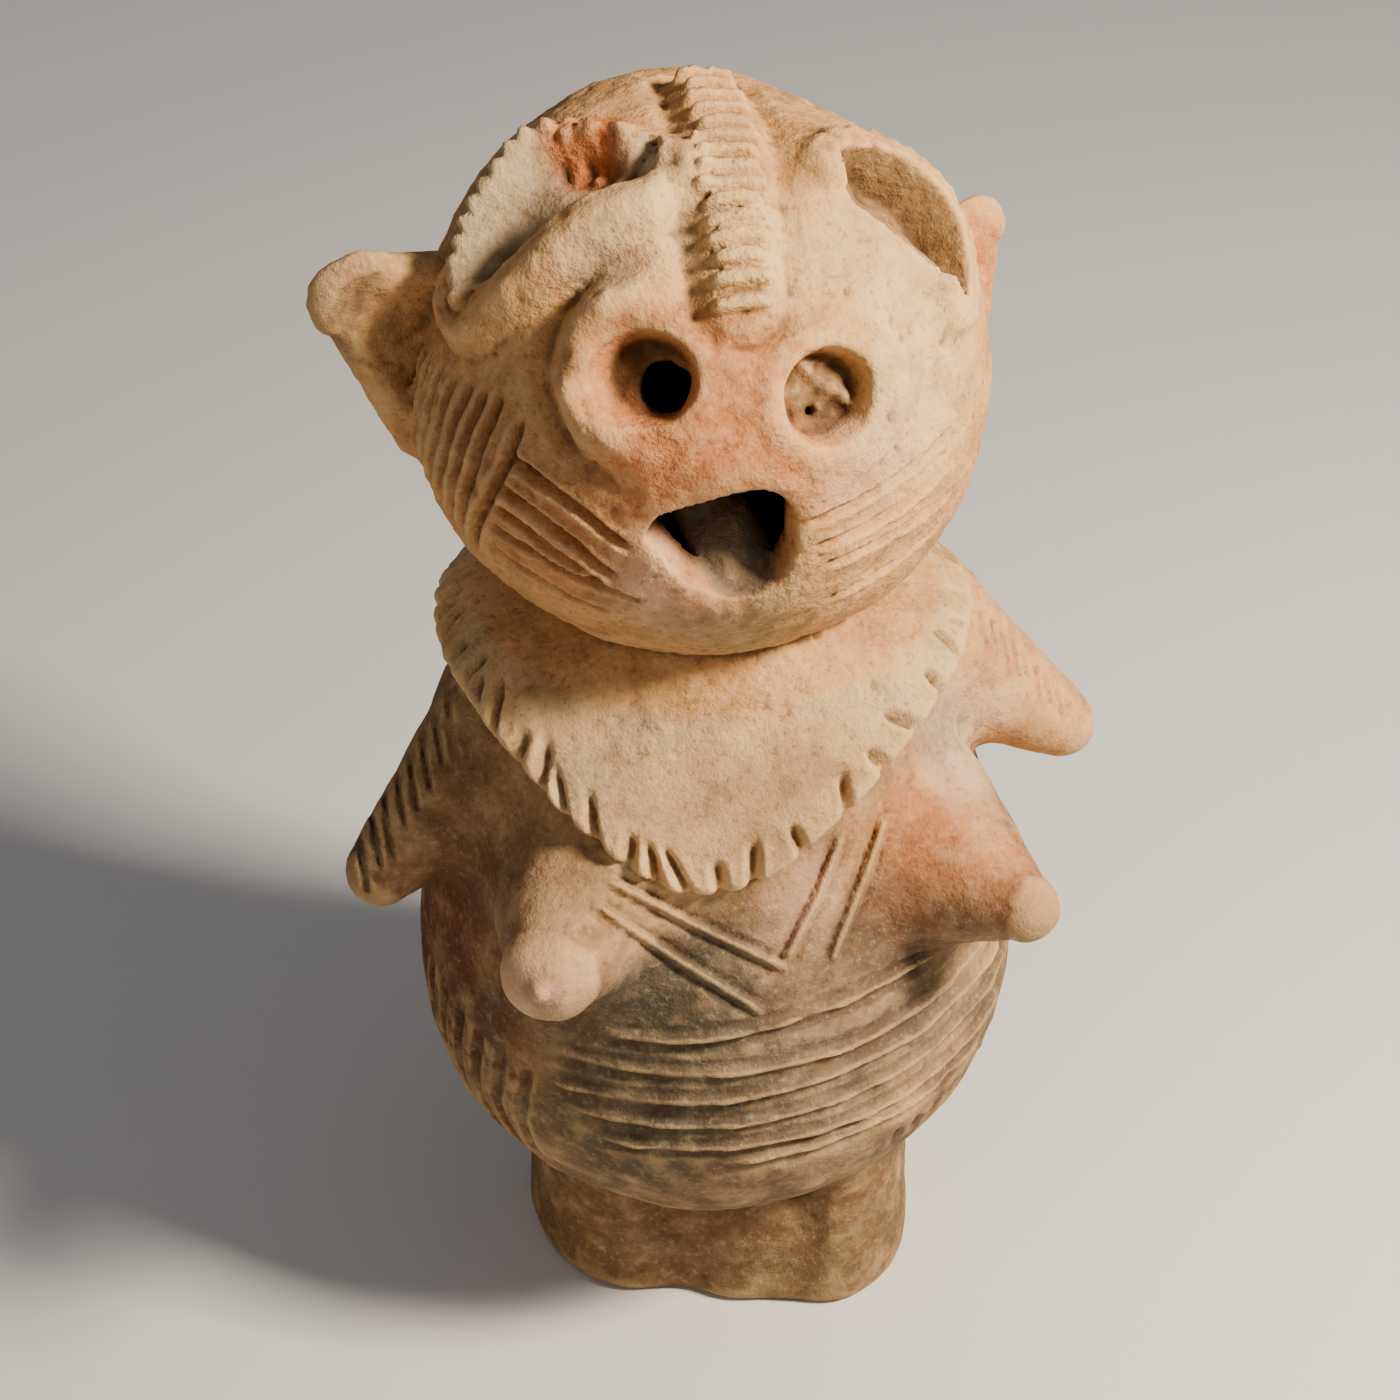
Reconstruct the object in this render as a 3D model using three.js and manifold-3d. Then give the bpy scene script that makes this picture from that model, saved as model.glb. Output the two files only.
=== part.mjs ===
// A hollow terracotta figure with an upturned schematic face, a notched collar, stub arms,
// breasts, a banded belly and a two-lobed foot. Millimetres, +Z up, and the front faces -Y.
// The origin lies at the underside, below the middle of the figure's bounding box.
// Carving and proportions are shares of the height, written in parts, a hundredth of it.

import * as THREE from "three";
import { mergeVertices } from "three/addons/utils/BufferGeometryUtils.js";
import Module from "manifold-3d";

const wasm = await Module();
wasm.setup();

// Driving dimensions, in millimetres
const HEIGHT = 480;
const WALL = 11;
const MOUTH_WIDTH = 50;
const MOUTH_HEIGHT = 47;
const NOSTRIL_BORE = 26;
const NOSTRIL_POCKET_DEPTH = 10;
const EYE_DEPTH = 11;
const TONGUE_WIDTH = 27;
const TONGUE_THICKNESS = 13;
const TONGUE_LENGTH = 38;

// Pose and proportions, in parts of the height and in degrees
const PART = HEIGHT / 100;
const HEAD_HEIGHT = 81;
const HEAD_SHIFT = -0.7;
const HEAD_RADIUS = 18.9;
const TORSO_SHIFT = -0.1;
const TORSO_LEAN = 4;
const LEAN_HEIGHT = 33;
const TORSO_DEPTH_SHARE = 0.96;
const FOOT_HEIGHT = 17;
const FOOT_CENTRE = new THREE.Vector2(0, -0.8);
const NECK_BELOW_HEAD = 15;
const NECK_HEIGHT = HEAD_HEIGHT - NECK_BELOW_HEAD;
const COLLAR_SHIFT = -0.9;

// Facets round each form
const HEAD_SIDES = 26;
const HEAD_RINGS = 15;
const TORSO_SIDES = 26;
const TORSO_RINGS = 10;
const CAVITY_SIDES = 14;
const CAVITY_RINGS = 7;
const CHAMBER_RINGS = 9;
const FOOT_SIDES = 24;
const FOOT_RINGS = 3;
const STUB_SIDES = 9;
const COLLAR_SIDES = 32;
const CUT_SIDES = 3;
const RIDGE_SIDES = 4;
const EYE_FACETS = { rimTube: 4, rimRound: 18, hollowSides: 16, hollowRings: 5 };
const NOSTRIL_FACETS = { ringTube: 4, ringRound: 12, boreSides: 12 };
const MOUTH_SIDES = 16;

// How far a cut reaches out above the skin, and how deep one goes that opens the wall
const CUT_REACH = 0.03 * HEIGHT;
const THROUGH = WALL + 0.04 * HEIGHT;

// A point given in parts becomes millimetres
function parts(x, y, z) {
  return new THREE.Vector3(x, y, z).multiplyScalar(PART);
}

// Direction from a longitude, 0 at the front and positive to +X, and a latitude
function direction(longitude, latitude) {
  const lon = THREE.MathUtils.degToRad(longitude);
  const lat = THREE.MathUtils.degToRad(latitude);
  return new THREE.Vector3(Math.sin(lon) * Math.cos(lat), -Math.cos(lon) * Math.cos(lat), Math.sin(lat));
}

// Moves every vertex of a geometry to the place that a function gives
function reshape(geometry, place) {
  const position = geometry.getAttribute("position");
  const vertex = new THREE.Vector3();
  for (let i = 0; i < position.count; i += 1) {
    vertex.fromBufferAttribute(position, i);
    const moved = place(vertex);
    position.setXYZ(i, moved.x, moved.y, moved.z);
  }
  return geometry;
}

// A closed geometry becomes a solid that can be joined and cut
function solid(geometry) {
  geometry.deleteAttribute("normal");
  geometry.deleteAttribute("uv");
  const merged = mergeVertices(geometry, 1e-4);
  const vertProperties = Float32Array.from(merged.getAttribute("position").array);
  const triVerts = Uint32Array.from(merged.getIndex().array);
  const made = new wasm.Manifold(new wasm.Mesh({ numProp: 3, vertProperties, triVerts }));
  return made.volume() < 0 ? solid(flipped(merged)) : made;
}

// The same geometry with its faces turned over
function flipped(geometry) {
  const index = geometry.getIndex().array;
  for (let i = 0; i < index.length; i += 3) {
    const first = index[i];
    index[i] = index[i + 1];
    index[i + 1] = first;
  }
  return geometry;
}

function joined(solids) {
  return solids.reduce((whole, next) => whole.add(next));
}

// Swellings of the head: longitude, latitude, height in parts and spread in degrees
const SWELLINGS = [
  { at: direction(-70, -8), height: 1.2, spread: 34 }, // left cheek and temple
  { at: direction(-80, 56), height: 2.1, spread: 26 }, // left eye
  { at: direction(64, 50), height: 1.5, spread: 24 }, // right eye
  { at: direction(-170, 62), height: 1, spread: 26 }, // crown
  { at: direction(120, 52), height: -0.7, spread: 20 }, // dip right of the crest
  { at: direction(-9, 20), height: 1.3, spread: 24 }, // snout
  { at: direction(-9, -22), height: 0.5, spread: 25 }, // chin
  { at: direction(50, -30), height: 0.5, spread: 28 }, // right jaw
];
const HEAD_CENTRE = parts(HEAD_SHIFT, 0, HEAD_HEIGHT);

// Distance from the head's centre to its skin along a direction
function headRadius(along) {
  let radius = HEAD_RADIUS;
  for (const { at, height, spread } of SWELLINGS) {
    const away = THREE.MathUtils.radToDeg(along.angleTo(at)) / spread;
    radius += height * Math.exp(-away * away);
  }
  return radius * PART;
}

function headPoint(along, lift) {
  return along.clone().multiplyScalar(headRadius(along) + lift).add(HEAD_CENTRE);
}

// A patch of the head's skin: (across, up, lift) in millimetres from its middle gives a point
function headPatch(longitude, latitude, roll = 0) {
  const middle = direction(longitude, latitude);
  const across = direction(longitude + 90, 0).applyAxisAngle(middle, THREE.MathUtils.degToRad(roll));
  const up = middle.clone().cross(across);
  const reach = headRadius(middle);
  return (a, b, lift) => {
    const along = middle.clone().addScaledVector(across, a / reach).addScaledVector(up, b / reach);
    return headPoint(along.normalize(), lift);
  };
}

function head() {
  const ball = new THREE.SphereGeometry(1, HEAD_SIDES, HEAD_RINGS).rotateX(Math.PI / 2);
  return solid(reshape(ball, (vertex) => headPoint(vertex.clone().normalize(), 0)));
}

// Half width of the torso at a height, both in parts, and then over the chest at a share of the
// way up from there to the neck
const BELLY_PROFILE = [[9, 9], [12.5, 12], [16, 15], [20, 20], [22.3, 26], [22.5, 33], [21.2, 41]];
const CHEST_PROFILE = [[19.7, 0.28], [18.6, 0.48], [17.4, 0.64], [15.4, 0.76], [12.6, 0.88], [12, 1]];
const CHEST_HEIGHT = BELLY_PROFILE[BELLY_PROFILE.length - 1][1];
const TORSO_PROFILE = [
  ...BELLY_PROFILE,
  ...CHEST_PROFILE.map(([r, share]) => [r, THREE.MathUtils.lerp(CHEST_HEIGHT, NECK_HEIGHT, share)]),
];
const torsoCurve = new THREE.SplineCurve(TORSO_PROFILE.map(([r, z]) => new THREE.Vector2(r, z)));

// Turns a place in the upright torso to the leaning one
function lean(point) {
  const pivot = parts(TORSO_SHIFT, 0, LEAN_HEIGHT);
  const upright = point.clone().sub(parts(0, 0, LEAN_HEIGHT));
  return upright.applyAxisAngle(new THREE.Vector3(0, 1, 0), -THREE.MathUtils.degToRad(TORSO_LEAN)).add(pivot);
}

// The torso as a turned form, with its skin moved in by a thickness in millimetres
function torso(inset, sides, rings) {
  const outline = [];
  for (let i = 0; i <= rings; i += 1) {
    const at = torsoCurve.getPoint(i / rings).multiplyScalar(PART);
    const tangent = torsoCurve.getTangent(i / rings);
    outline.push(at.add(new THREE.Vector2(-tangent.y, tangent.x).multiplyScalar(inset)));
  }
  const bottom = new THREE.Vector2(0, outline[0].y);
  const top = new THREE.Vector2(0, outline[rings].y + inset);
  const rim = new THREE.Vector2(outline[rings].x, top.y);
  const profile = inset > 0 ? [bottom, ...outline, rim, top] : [bottom, ...outline, top];
  const turned = new THREE.LatheGeometry(profile, sides).rotateX(Math.PI / 2);
  turned.scale(1, TORSO_DEPTH_SHARE, 1);
  return solid(reshape(turned, lean));
}

// Half width of the torso at a height in parts
function torsoHalfWidth(height) {
  const above = TORSO_PROFILE.findIndex(([, z]) => z >= height);
  const [r0, z0] = TORSO_PROFILE[above - 1];
  const [r1, z1] = TORSO_PROFILE[above];
  return THREE.MathUtils.mapLinear(height, z0, z1, r0, r1);
}

// A point on the torso's skin, from an angle, 0 at the front, and a height in parts
function torsoPoint(angle, height, lift) {
  const along = direction(angle, 0);
  const half = torsoHalfWidth(height) * PART + lift;
  return lean(new THREE.Vector3(along.x * half, along.y * half * TORSO_DEPTH_SHARE, height * PART));
}

// The foot's two lobes as ellipses: centre and half sizes in parts
const LOBES = [
  { x: -7, y: 1.6, halfWidth: 8.2, halfLength: 10.2 },
  { x: 0.6, y: -0.4, halfWidth: 8, halfLength: 11.2 },
  { x: 6.8, y: -1.4, halfWidth: 8.4, halfLength: 12 },
];
const LOBE_BLEND = 0.6;

// Distance from the foot's centre to one lobe's outline along an angle
function lobeReach(lobe, along) {
  const a = (along.x / lobe.halfWidth) ** 2 + (along.y / lobe.halfLength) ** 2;
  const b = (along.x * lobe.x) / lobe.halfWidth ** 2 + (along.y * lobe.y) / lobe.halfLength ** 2;
  const c = (lobe.x / lobe.halfWidth) ** 2 + (lobe.y / lobe.halfLength) ** 2 - 1;
  return (b + Math.sqrt(Math.max(b * b - a * c, 0))) / a;
}

function footRadius(along) {
  const total = LOBES.reduce((sum, lobe) => sum + Math.exp(lobeReach(lobe, along) / LOBE_BLEND), 0);
  return LOBE_BLEND * Math.log(total) * PART;
}

// The foot between two heights in millimetres, with its skin moved in by a thickness
const FOOT_EDGE_ROUND = 0.05;
const FOOT_EDGE_SHARE = 0.1;
const FOOT_NARROWING = 0.04;
function foot(inset, from, to, sides, rings) {
  const drum = new THREE.CylinderGeometry(1, 1, 1, sides, rings).rotateX(Math.PI / 2);
  return solid(reshape(drum, (vertex) => {
    const share = vertex.z + 0.5;
    const along = new THREE.Vector2(vertex.x, vertex.y);
    const reach = along.length();
    along.divideScalar(reach || 1);
    const narrowing = 1 - (share < FOOT_EDGE_SHARE ? FOOT_EDGE_ROUND : FOOT_NARROWING * share);
    const radius = (footRadius(along) * narrowing - inset) * reach;
    const height = THREE.MathUtils.lerp(from, to, share);
    return new THREE.Vector3(
      FOOT_CENTRE.x * PART + along.x * radius, FOOT_CENTRE.y * PART + along.y * radius, height);
  }));
}

// A round-ended tapering stub from one point to another, flattened across a direction. Its root
// is sunk by a share of the root radius, and it slims early, by half its length.
const ROOT_SINK = 0.6;
const ROOT_END_SHARE = 0.8;
const SLIM_PLACE = 0.5;
const SLIM_SHARE = 0.55;
const TIP_STEPS = 3;
function stub({ from, to, rootRadius, tipRadius, flatness = 1, across = new THREE.Vector3(0, 1, 0) }) {
  const axis = to.clone().sub(from);
  const length = axis.length();
  axis.normalize();
  const sunk = -rootRadius * ROOT_SINK;
  const profile = [new THREE.Vector2(0, sunk), new THREE.Vector2(rootRadius * ROOT_END_SHARE, sunk)];
  profile.push(new THREE.Vector2(rootRadius, 0));
  const slim = THREE.MathUtils.lerp(rootRadius, tipRadius, SLIM_SHARE);
  profile.push(new THREE.Vector2(slim, length * SLIM_PLACE));
  for (let i = 0; i <= TIP_STEPS; i += 1) {
    const turn = (Math.PI / 2) * (i / TIP_STEPS);
    profile.push(new THREE.Vector2(Math.cos(turn) * tipRadius, length + Math.sin(turn) * tipRadius));
  }
  profile[profile.length - 1].x = 0;
  const thin = across.clone().addScaledVector(axis, -across.dot(axis)).normalize();
  const wide = axis.clone().cross(thin);
  const frame = new THREE.Matrix4().makeBasis(wide, axis, thin.multiplyScalar(flatness)).setPosition(from);
  return solid(new THREE.LatheGeometry(profile, STUB_SIDES).applyMatrix4(frame));
}

// A stub from one place to another, with its radii at the root and the tip, all in parts
function limb(from, to, rootRadius, tipRadius) {
  return { from, to, rootRadius: rootRadius * PART, tipRadius: tipRadius * PART };
}

const ARMS = [
  limb(parts(-14.5, -1.5, 54.4), parts(-25.6, -3.4, 44.4), 6.6, 2.6),
  limb(parts(14, -1, 56.6), parts(25.7, -3.2, 48), 6.8, 2.6),
];
const BREASTS = [
  limb(parts(-11.8, -12, 46.8), parts(-16.2, -19.4, 47.3), 8, 3.6),
  limb(parts(12.2, -12.5, 46), parts(17, -21, 47), 7.6, 2.5),
];

// A point given in parts from the head's centre
function headPlace(x, y, z) {
  return parts(x, y, z).add(HEAD_CENTRE);
}

// Ears are flattened stubs, scooped out in front
const EARS = [
  limb(headPlace(-15.2, 0.5, 3.5), headPlace(-22.9, -1, 9.5), 8.8, 3.1),
  limb(headPlace(15.2, 1.5, 2), headPlace(19.3, 2.2, 7), 6.4, 2.2),
];
const EAR_FLATNESS = 0.36;
const EAR_SCOOP_FORWARD = -2.4;
const EAR_SCOOP_SHARE = 0.72;
const EAR_SCOOP_FLATNESS = 0.43;
const EAR_TIP_LEFT = 0.12;

function ear(shape) {
  const forward = parts(0, EAR_SCOOP_FORWARD, 0);
  const flap = stub({ ...shape, flatness: EAR_FLATNESS });
  const scoop = stub({
    from: shape.from.clone().add(forward),
    to: shape.to.clone().lerp(shape.from, EAR_TIP_LEFT).add(forward),
    rootRadius: shape.rootRadius * EAR_SCOOP_SHARE,
    tipRadius: shape.tipRadius * EAR_SCOOP_SHARE,
    flatness: EAR_SCOOP_FLATNESS,
  });
  return flap.subtract(scoop);
}

// A strand of few sides along a path on the skin: path(share, lift) gives its points. It
// slims towards its ends.
const STRAND_END_SHARE = 0.35;
const STRAND_END_ROUNDING = 0.5;
const PATH_STEP = 0.01;
function strand({ path, steps, halfWidth, rise, sink, sides = CUT_SIDES }) {
  const rod = new THREE.CylinderGeometry(1, 1, 1, sides, steps);
  return solid(reshape(rod, (vertex) => {
    const share = vertex.y + 0.5;
    const size = THREE.MathUtils.lerp(STRAND_END_SHARE, 1, Math.sin(Math.PI * share) ** STRAND_END_ROUNDING);
    const here = path(share, 0);
    const normal = path(share, 1).sub(here).normalize();
    const next = path(Math.min(share + PATH_STEP, 1), 0);
    const ahead = next.sub(path(Math.max(share - PATH_STEP, 0), 0)).normalize();
    const side = ahead.cross(normal).normalize();
    const lift = vertex.z < 0 ? -vertex.z * 2 * rise : -vertex.z * sink;
    return here.addScaledVector(side, vertex.x * halfWidth * size).addScaledVector(normal, lift * size);
  }));
}

// A cut: a three-sided strand with its edge down in the clay
const GROOVE_RISE = 0.8;
function groove(path, halfWidth, depth, steps = 2) {
  return strand({ path, steps, halfWidth, rise: depth * GROOVE_RISE, sink: depth });
}

// Raised clay: a four-sided strand, half sunk in the skin
function ridge(path, halfWidth, height, steps) {
  return strand({ path, steps, halfWidth, rise: height / 2, sink: height, sides: RIDGE_SIDES });
}

// A path over the head between two places given by longitude and latitude
function headPath(start, end) {
  return (share, lift) => {
    const longitude = THREE.MathUtils.lerp(start[0], end[0], share);
    const latitude = THREE.MathUtils.lerp(start[1], end[1], share);
    return headPoint(direction(longitude, latitude), lift);
  };
}

// A path over the torso between two places given by angle and height in parts
function torsoPath(start, end) {
  return (share, lift) => {
    const angle = THREE.MathUtils.lerp(start[0], end[0], share);
    const height = THREE.MathUtils.lerp(start[1], end[1], share);
    return torsoPoint(angle, height, lift);
  };
}

// Eyes are long hollows ringed by a rim whose outer side stands up as a notched brow
const EYES = [
  { longitude: -71, latitude: 49, roll: 68, halfLength: 9.2, outward: 5, inward: 1.6 },
  { longitude: 61, latitude: 46, roll: 92, halfLength: 7.2, outward: 1.6, inward: 4.6 },
];
const EYE_RIM_HALF_WIDTH = 1.25;
const EYE_RIM_HEIGHT = 1.3;
const BROW_HEIGHT_GAIN = 1.1;
const EYE_TUBE = 0.2;
const EYE_HOLLOW_SHARE = 0.93;
const BROW_NOTCHES = 11;
const BROW_NOTCH = { start: 0.1, end: 1.5, halfWidth: 0.28, depth: 0.55, margin: 0.1 };

// A place on an eye's outline, scaled from its middle, by an angle round it
function eyePlace(eye, turn, scale) {
  const bulge = Math.sin(turn) > 0 ? eye.outward : eye.inward;
  return [Math.cos(turn) * eye.halfLength * scale * PART, Math.sin(turn) * bulge * scale * PART];
}

// How much of the brow's extra height a place round the eye has
function browShare(eye, turn) {
  const outer = eye.outward > eye.inward ? 1 : -1;
  return Math.max(Math.sin(turn) * outer, 0);
}

function eyeRim(eye) {
  const patch = headPatch(eye.longitude, eye.latitude, eye.roll);
  const ring = new THREE.TorusGeometry(1, EYE_TUBE, EYE_FACETS.rimTube, EYE_FACETS.rimRound);
  return solid(reshape(ring, (vertex) => {
    const turn = Math.atan2(vertex.y, vertex.x);
    const outwards = (Math.hypot(vertex.x, vertex.y) - 1) / EYE_TUBE;
    const [a, b] = eyePlace(eye, turn, 1);
    const rise = EYE_RIM_HEIGHT + BROW_HEIGHT_GAIN * browShare(eye, turn);
    const lift = (vertex.z / EYE_TUBE) * rise * PART;
    const spread = outwards * EYE_RIM_HALF_WIDTH * PART;
    return patch(a + Math.cos(turn) * spread, b + Math.sin(turn) * spread, lift);
  }));
}

function eyeHollow(eye) {
  const patch = headPatch(eye.longitude, eye.latitude, eye.roll);
  const { hollowSides, hollowRings } = EYE_FACETS;
  const ball = new THREE.SphereGeometry(1, hollowSides, hollowRings).rotateX(Math.PI / 2);
  return solid(reshape(ball, (vertex) => {
    const turn = Math.atan2(vertex.y, vertex.x);
    const [a, b] = eyePlace(eye, turn, Math.hypot(vertex.x, vertex.y) * EYE_HOLLOW_SHARE);
    const lift = vertex.z * (vertex.z > 0 ? CUT_REACH : EYE_DEPTH);
    return patch(a, b, lift);
  }));
}

function browNotches(eye) {
  const patch = headPatch(eye.longitude, eye.latitude, eye.roll);
  const outer = eye.outward > eye.inward ? 1 : -1;
  const notches = [];
  for (let i = 0; i < BROW_NOTCHES; i += 1) {
    const place = THREE.MathUtils.lerp(BROW_NOTCH.margin, 1 - BROW_NOTCH.margin, i / (BROW_NOTCHES - 1));
    const turn = outer * place * Math.PI;
    const crown = EYE_RIM_HEIGHT + BROW_HEIGHT_GAIN * browShare(eye, turn);
    const path = (share, lift) => {
      const [a, b] = eyePlace(eye, turn, 1);
      const out = THREE.MathUtils.lerp(BROW_NOTCH.start, BROW_NOTCH.end, share) * PART;
      return patch(a + Math.cos(turn) * out, b + Math.sin(turn) * out, (crown - share) * PART + lift);
    };
    notches.push(groove(path, BROW_NOTCH.halfWidth * PART, BROW_NOTCH.depth * PART, 1));
  }
  return notches;
}

// Nostrils: a raised wing round each, the left one bored through and the right one blind
const NOSTRILS = [
  { longitude: -24, latitude: 30, ringRadius: 4.4, ringThickness: 1.7, ringRise: 1.5, endScale: 0.75 },
  { longitude: 12, latitude: 24.5, ringRadius: 3.6, ringThickness: 1.2, ringRise: 0.9, endScale: 0.7 },
];

function nostrilRing({ longitude, latitude, ringRadius, ringThickness, ringRise }) {
  const patch = headPatch(longitude, latitude);
  const ring = new THREE.TorusGeometry(
    ringRadius, ringThickness, NOSTRIL_FACETS.ringTube, NOSTRIL_FACETS.ringRound);
  const rise = ringRise / ringThickness;
  return solid(reshape(ring, (vertex) => patch(vertex.x * PART, vertex.y * PART, vertex.z * rise * PART)));
}

// A round cut from above the skin down to a depth, by its half sizes across and up
function headBore({ longitude, latitude, halfWidth, halfHeight, depth, endScale, sides }) {
  const patch = headPatch(longitude, latitude);
  const drum = new THREE.CylinderGeometry(1, 1, 1, sides).rotateX(Math.PI / 2);
  return solid(reshape(drum, (vertex) => {
    const scale = vertex.z > 0 ? 1 : endScale;
    const lift = vertex.z > 0 ? CUT_REACH : -depth;
    return patch(vertex.x * halfWidth * scale, vertex.y * halfHeight * scale, lift);
  }));
}

function nostrilBores() {
  const [left, right] = NOSTRILS;
  const half = NOSTRIL_BORE / 2;
  const size = { halfWidth: half, halfHeight: half, sides: NOSTRIL_FACETS.boreSides };
  return [
    headBore({ ...left, ...size, depth: THROUGH }),
    headBore({ ...right, ...size, depth: NOSTRIL_POCKET_DEPTH }),
  ];
}

// The open mouth goes through the wall, and a tongue rises from its lower lip
const MOUTH = { longitude: -11, latitude: -5, endScale: 0.95 };
const TONGUE_LONGITUDE = -6;
const TONGUE_SINK = 0.3;
const TONGUE_RISE = 2.2;
const TONGUE_ROOT_SHARE = 0.55;
const TONGUE_TIP_SHARE = 0.42;

function mouthCut() {
  const size = { halfWidth: MOUTH_WIDTH / 2, halfHeight: MOUTH_HEIGHT / 2, sides: MOUTH_SIDES };
  return headBore({ ...MOUTH, ...size, depth: THROUGH });
}

function tongue() {
  const patch = headPatch(MOUTH.longitude, MOUTH.latitude);
  const from = patch(PART, -MOUTH_HEIGHT / 2 - TONGUE_THICKNESS * TONGUE_SINK, -WALL);
  const inward = direction(TONGUE_LONGITUDE, 0).multiplyScalar(-TONGUE_LENGTH);
  const to = from.clone().add(inward).add(parts(0, 0, TONGUE_RISE));
  return stub({
    from, to, rootRadius: TONGUE_WIDTH * TONGUE_ROOT_SHARE, tipRadius: TONGUE_WIDTH * TONGUE_TIP_SHARE,
    flatness: TONGUE_THICKNESS / TONGUE_WIDTH, across: new THREE.Vector3(0, 0, 1),
  });
}

// The crest: a band with raised bars from above the snout over the top of the head
const CREST_LONGITUDE = -4;
const CREST_START = 43;
const CREST_END = 98;
const CREST_BARS = 10;
const CREST_HALF_WIDTH = 2.1;
const CREST_BAR = { halfWidth: 0.6, height: 1.3 };
const CREST_BAND = { halfWidth: 1.4, height: 0.7, overrun: 3.5, steps: 6 };

function crest() {
  const start = [CREST_LONGITUDE, CREST_START - CREST_BAND.overrun];
  const end = [CREST_LONGITUDE, CREST_END + CREST_BAND.overrun];
  const band = ridge(
    headPath(start, end), CREST_BAND.halfWidth * PART, CREST_BAND.height * PART, CREST_BAND.steps);
  const bars = [];
  for (let i = 0; i < CREST_BARS; i += 1) {
    const latitude = THREE.MathUtils.lerp(CREST_START, CREST_END, i / (CREST_BARS - 1));
    const patch = headPatch(CREST_LONGITUDE, latitude);
    const reach = CREST_HALF_WIDTH * PART;
    const path = (share, lift) => patch(THREE.MathUtils.lerp(-reach, reach, share), 0, lift);
    bars.push(ridge(path, CREST_BAR.halfWidth * PART, CREST_BAR.height * PART, 2));
  }
  return [band, ...bars];
}

// Strokes of the face: the ends of a stroke, or of the first one of a fan, as longitudes and
// latitudes, then its half width and depth in parts, and the steps to the fan's next strokes
const FACE_STROKES = [
  {
    from: [-53, 9], to: [-28, -4], halfWidth: 0.4, depth: 0.8,
    count: 4, fromStep: [-2, -5.5], toStep: [0.7, -4.6],
  },
  {
    from: [41, 6], to: [5, 1], halfWidth: 0.3, depth: 0.5,
    count: 4, fromStep: [1.3, -7.3], toStep: [2.7, -8],
  },
  {
    from: [-58, 20], to: [-69, -13], halfWidth: 0.32, depth: 0.6,
    count: 6, fromStep: [-4.3, -1], toStep: [-3, 1.5],
  },
  { from: [-51, 17], to: [-66, -18], halfWidth: 0.36, depth: 0.7 },
  { from: [-46, 34], to: [-39, 10], halfWidth: 0.5, depth: 0.7 },
].map((stroke) => ({ count: 1, fromStep: [0, 0], toStep: [0, 0], ...stroke }));

function faceGrooves() {
  return FACE_STROKES.flatMap(({ from, to, fromStep, toStep, count, halfWidth, depth }) => {
    const cuts = [];
    for (let i = 0; i < count; i += 1) {
      const start = [from[0] + fromStep[0] * i, from[1] + fromStep[1] * i];
      const end = [to[0] + toStep[0] * i, to[1] + toStep[1] * i];
      cuts.push(groove(headPath(start, end), halfWidth * PART, depth * PART));
    }
    return cuts;
  });
}

// The collar slopes from the neck out to a free edge, lowest in front
const COLLAR_NECK_RADIUS = 12;
const COLLAR_SIDE_DROP = 3.4;
const COLLAR_SIDE_HEIGHT = NECK_HEIGHT - COLLAR_SIDE_DROP;
const COLLAR_SIDE_RADIUS = 18.4;
const COLLAR_FRONT = THREE.MathUtils.degToRad(-13);
const COLLAR_FRONT_REACH = 1.4;
const COLLAR_DROP = 11.2;
const COLLAR_DROP_SHARPNESS = 9;
const COLLAR_BACK_DROP = 3;
const COLLAR_THICKNESS = 2.4;
const COLLAR_ROOT_THICKNESS = 6.5;

function collarPoint(turn, share, lift) {
  const front = 0.5 + 0.5 * Math.cos(turn - COLLAR_FRONT);
  const back = Math.max(-Math.cos(turn - COLLAR_FRONT), 0);
  const drop = COLLAR_DROP * front ** COLLAR_DROP_SHARPNESS + COLLAR_BACK_DROP * back;
  const edgeHeight = COLLAR_SIDE_HEIGHT - drop;
  const edgeRadius = COLLAR_SIDE_RADIUS + COLLAR_FRONT_REACH * front;
  const radius = THREE.MathUtils.lerp(COLLAR_NECK_RADIUS, edgeRadius, share);
  const height = THREE.MathUtils.lerp(NECK_HEIGHT, edgeHeight, share) + lift;
  return parts(COLLAR_SHIFT + Math.sin(turn) * radius, -Math.cos(turn) * radius, height);
}

// The collar's section: the place down the slope, from 1 at the neck to 2 at the edge, and the
// lift above the slope
const COLLAR_SECTION = [
  [1, -COLLAR_ROOT_THICKNESS], [1.92, -COLLAR_THICKNESS], [2, -COLLAR_THICKNESS / 2],
  [1.97, -0.2], [1.85, 0], [1, 0], [1, -COLLAR_ROOT_THICKNESS],
];

function collar() {
  const outline = COLLAR_SECTION.map(([place, lift]) => new THREE.Vector2(place, lift));
  const ring = new THREE.LatheGeometry(outline, COLLAR_SIDES);
  return solid(reshape(ring, (vertex) => {
    const share = Math.hypot(vertex.x, vertex.z) - 1;
    return collarPoint(Math.atan2(vertex.x, vertex.z), share, vertex.y);
  }));
}

// Notches along the collar's edge, close on the left and wider apart on the right
const COLLAR_NOTCHES = [
  { first: -104, last: 0, step: 7, length: 0.22, halfWidth: 0.45 },
  { first: 8, last: 98, step: 10, length: 0.18, halfWidth: 0.45 },
];
const COLLAR_NOTCH_DEPTH = 1.1;
const COLLAR_NOTCH_END = 1.02;

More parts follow.
